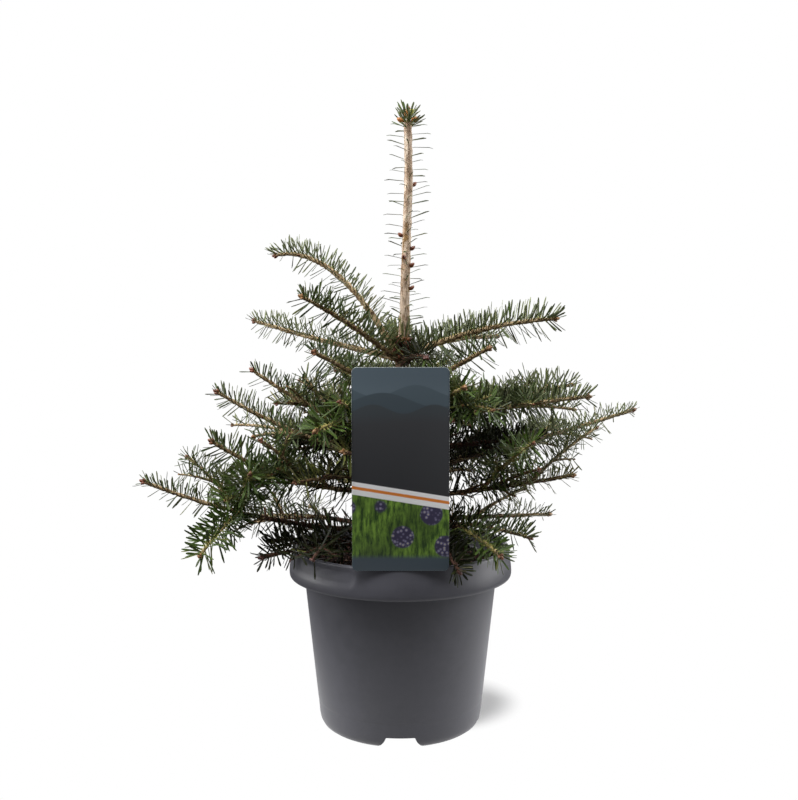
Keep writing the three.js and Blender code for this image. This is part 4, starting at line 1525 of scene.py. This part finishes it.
def shoot_buds(shoot, rng):
    """A cluster at the shoot's end and, on a bough's own shoot, two buds along it."""
    limb = shoot.limb
    tip, way = limb.at(1.0), limb.way(1.0)
    right, over = across(way)
    size = BUD_SIZE[shoot.kind]
    # Buds on shade sprays take the dark tone: painted shade.
    tint = BUD["dark"] if shoot.tint == "shade" else rng.integers(BUD["brown"], BUD["orange"])
    buds = [bud("end", tip + way * 0.6 * size, way, tint, size)]
    for i in range(3 if shoot.kind != "twiglet" else rng.integers(0, 2)):
        turn = math.radians(90 + 120 * i + vary(rng, 0, 40))
        aside = right * math.cos(turn) + over * math.sin(turn)
        root = tip - way * 0.6 + aside * 1.15 * size
        buds.append(bud("round", root, unit(way + 0.9 * aside), tint, size))
    if shoot.kind == "main":
        for share in (vary(rng, 0.45, 0.55), vary(rng, 0.7, 0.8)):
            way = limb.way(share)
            aside = across(way)[0] * (1 if rng.random() < 0.5 else -1)
            aim = unit(aside + way * 0.8 + UP * 0.4)
            buds.append(bud("along", limb.at(share) + aside * 2.0, aim, "brown"))
    return buds


def whorl_scales(rng):
    """Dry scales round the leader's foot."""
    tints = ["dark", "red", "dark", "red", "brown"]
    buds = []
    for heading in np.arange(WHORL_SCALES) * GOLDEN:
        height = vary(rng, WHORL - 10, WHORL + 11)
        out = trunk_radius(height) + vary(rng, 0, 2.4)
        root = trunk_axis(height) + direction(heading, 0) * out
        buds.append(bud("scale", root, direction(heading, 46), str(rng.choice(tints))))
    return buds


def leader_buds():
    """The buds beside the leader and those on its top."""
    buds = []
    for height, heading in LEADER_BUDS:
        root = trunk_axis(height + 3) + direction(heading, 0) * (trunk_radius(height) + 1.4)
        buds.append(bud("leader", root, direction(heading, 38), "red"))
    for heading, rise, out, up, tint in TOP_BUDS:
        root = trunk_axis(TRUNK_TOP) + direction(heading, 0) * out + UP * up
        buds.append(bud("top", root, direction(heading, rise), tint))
    return buds


def make_buds():
    """All buds and dry scales, joined."""
    rng = draws("buds")
    buds = [made for shoot in SHOOTS for made in shoot_buds(shoot, rng)]
    buds += whorl_scales(rng) + leader_buds()
    roots, aims, wide, long, tints = (np.array(column) for column in zip(*buds))
    sideways = unit(np.cross(aims, direction(37, 20)))
    axes = (sideways, np.cross(aims, sideways), aims)
    shape = bud_template()
    points = set_out(roots, shape["points"][None], axes, (wide, wide, long))
    tones = np.repeat(tints[:, None], len(shape["sizes"]), 1)
    materials = [bud_scale(f"bud_{name}", colour) for name, colour in BUD_TONES.items()]
    piece("buds", copies("buds", shape, points, tones), materials)


# --- stage ---


def blend(shader, factor, first, second, output):
    """Leads a blend of two shaders to the surface of an output node."""
    made = shader.node("ShaderNodeMixShader")
    shader.put(output.inputs["Surface"], shader.fill(made, factor, first, second)[0])


def white_world():
    """Pure white for the camera, and a weak light that gloss shows dimmer in front and at left."""
    world = bpy.data.worlds.new("studio")
    bpy.context.scene.world = world
    world.use_nodes = True
    world.node_tree.nodes.clear()
    shader = Shader(world.node_tree)
    way = shader.split(shader.node("ShaderNodeTexCoord").outputs["Generated"])
    sideways = shader.range(way[0], -0.9, 0.9, 0.3, 1.4)
    backwards = shader.range(way[1], -0.9, -0.2, 0.12, 1.0)
    path = shader.node("ShaderNodeLightPath").outputs
    mirrored = shader.math("MULTIPLY", sideways, backwards)
    strength = shader.mix(path["Is Glossy Ray"], grey(0.2), mirrored)
    seen, light = (
        shader.give(shader.node("ShaderNodeBackground"), Color=colour, Strength=1.0)[0]
        for colour in (grey(1.0), strength)
    )
    blend(shader, path["Is Camera Ray"], light, seen, shader.node("ShaderNodeOutputWorld"))


def floor_white():
    """Pale floor that fades to pure white round the pot, soonest before it and at the left.

    It throws little light back up, and to gloss shows a painted reflection, brightest near the pot
    and dimmer at the left.
    """
    finish = Finish("floor_white", roughness=0.9, specular=0.1)
    shader = finish.shader
    body = finish.mottled(grey(0.88), 3.0, 0.02)["Color"]
    path = shader.node("ShaderNodeLightPath").outputs
    away = shader.node("ShaderNodeVectorMath", operation="DISTANCE")
    near = shader.fill(away, shader.place(), (0.034, 0.044, 0.0))["Value"]
    # What gloss sees of the floor, up to half again brighter than white near the pot and dimmer at
    # the left, is a painted reflection on the pot.
    side = shader.range(shader.split(shader.place())[0], -0.3, -0.04, 0.3, 1.0)
    mirrored = shader.math("MULTIPLY", shader.range(near, 0.16, 0.46, 1.5, 0.05), side)
    unseen = shader.mix(path["Is Glossy Ray"], grey(0.12), mirrored)
    finish.colour(shader.mix(path["Is Camera Ray"], unseen, body))
    white = shader.mix(path["Is Camera Ray"], unseen, grey(1.0))
    glow = shader.give(shader.node("ShaderNodeEmission"), Color=white)[0]
    output = shader.tree.nodes["Material Output"]
    blend(shader, shader.range(near, 0.046, 0.08), finish.bsdf.outputs[0], glow, output)
    return finish.material


def make_floor():
    """A wide pale floor under the pot."""
    bm = bmesh.new()
    bmesh.ops.create_circle(bm, cap_ends=True, segments=96, radius=6000)
    bmesh.ops.translate(bm, vec=(0, 0, -0.4), verts=bm.verts)
    mesh = mesh_of(bm, "floor")
    mesh.materials.append(floor_white())
    add_object("floor", mesh)


def softbox(name, place, size, watts):
    """A rectangular lamp that is aimed at the tree's middle."""
    lamp = bpy.data.lights.new(name, "AREA")
    lamp.shape = "RECTANGLE"
    lamp.size, lamp.size_y = size
    lamp.energy = watts
    made = add_object(name, lamp)
    made.location = place
    aim = Vector((0.0, 0.0, 0.22)) - Vector(place)
    made.rotation_euler = aim.to_track_quat("-Z", "Y").to_euler()


def make_lights():
    softbox("left", (-1.4, 0.1, 0.75), (0.8, 1.2), 27)
    softbox("right", (1.5, 0.2, 0.5), (0.9, 1.3), 22.5)
    softbox("above", (-0.3, -0.45, 1.7), (0.9, 0.9), 35)
    softbox("behind", (0.0, 1.6, 0.9), (1.4, 1.0), 8)


def make_camera():
    """The viewing place, 0.93 m before the pot, looking slightly down."""
    data = bpy.data.cameras.new("camera")
    data.lens = 49.5
    data.sensor_width = 36
    data.clip_start = 0.01
    made = add_object("camera", data)
    made.location = (-0.0012, -0.929, 0.365)
    made.rotation_euler = (math.radians(90 - 5.33), 0, 0)
    bpy.context.scene.camera = made


make_camera()
white_world()
make_floor()
make_lights()
bpy.context.scene.view_settings.view_transform = "Standard"

make_pot()
soil_bed()
soil_crumbs()
make_card()
make_trunk()
make_boughs()
make_twigs()
make_needles()
make_buds()
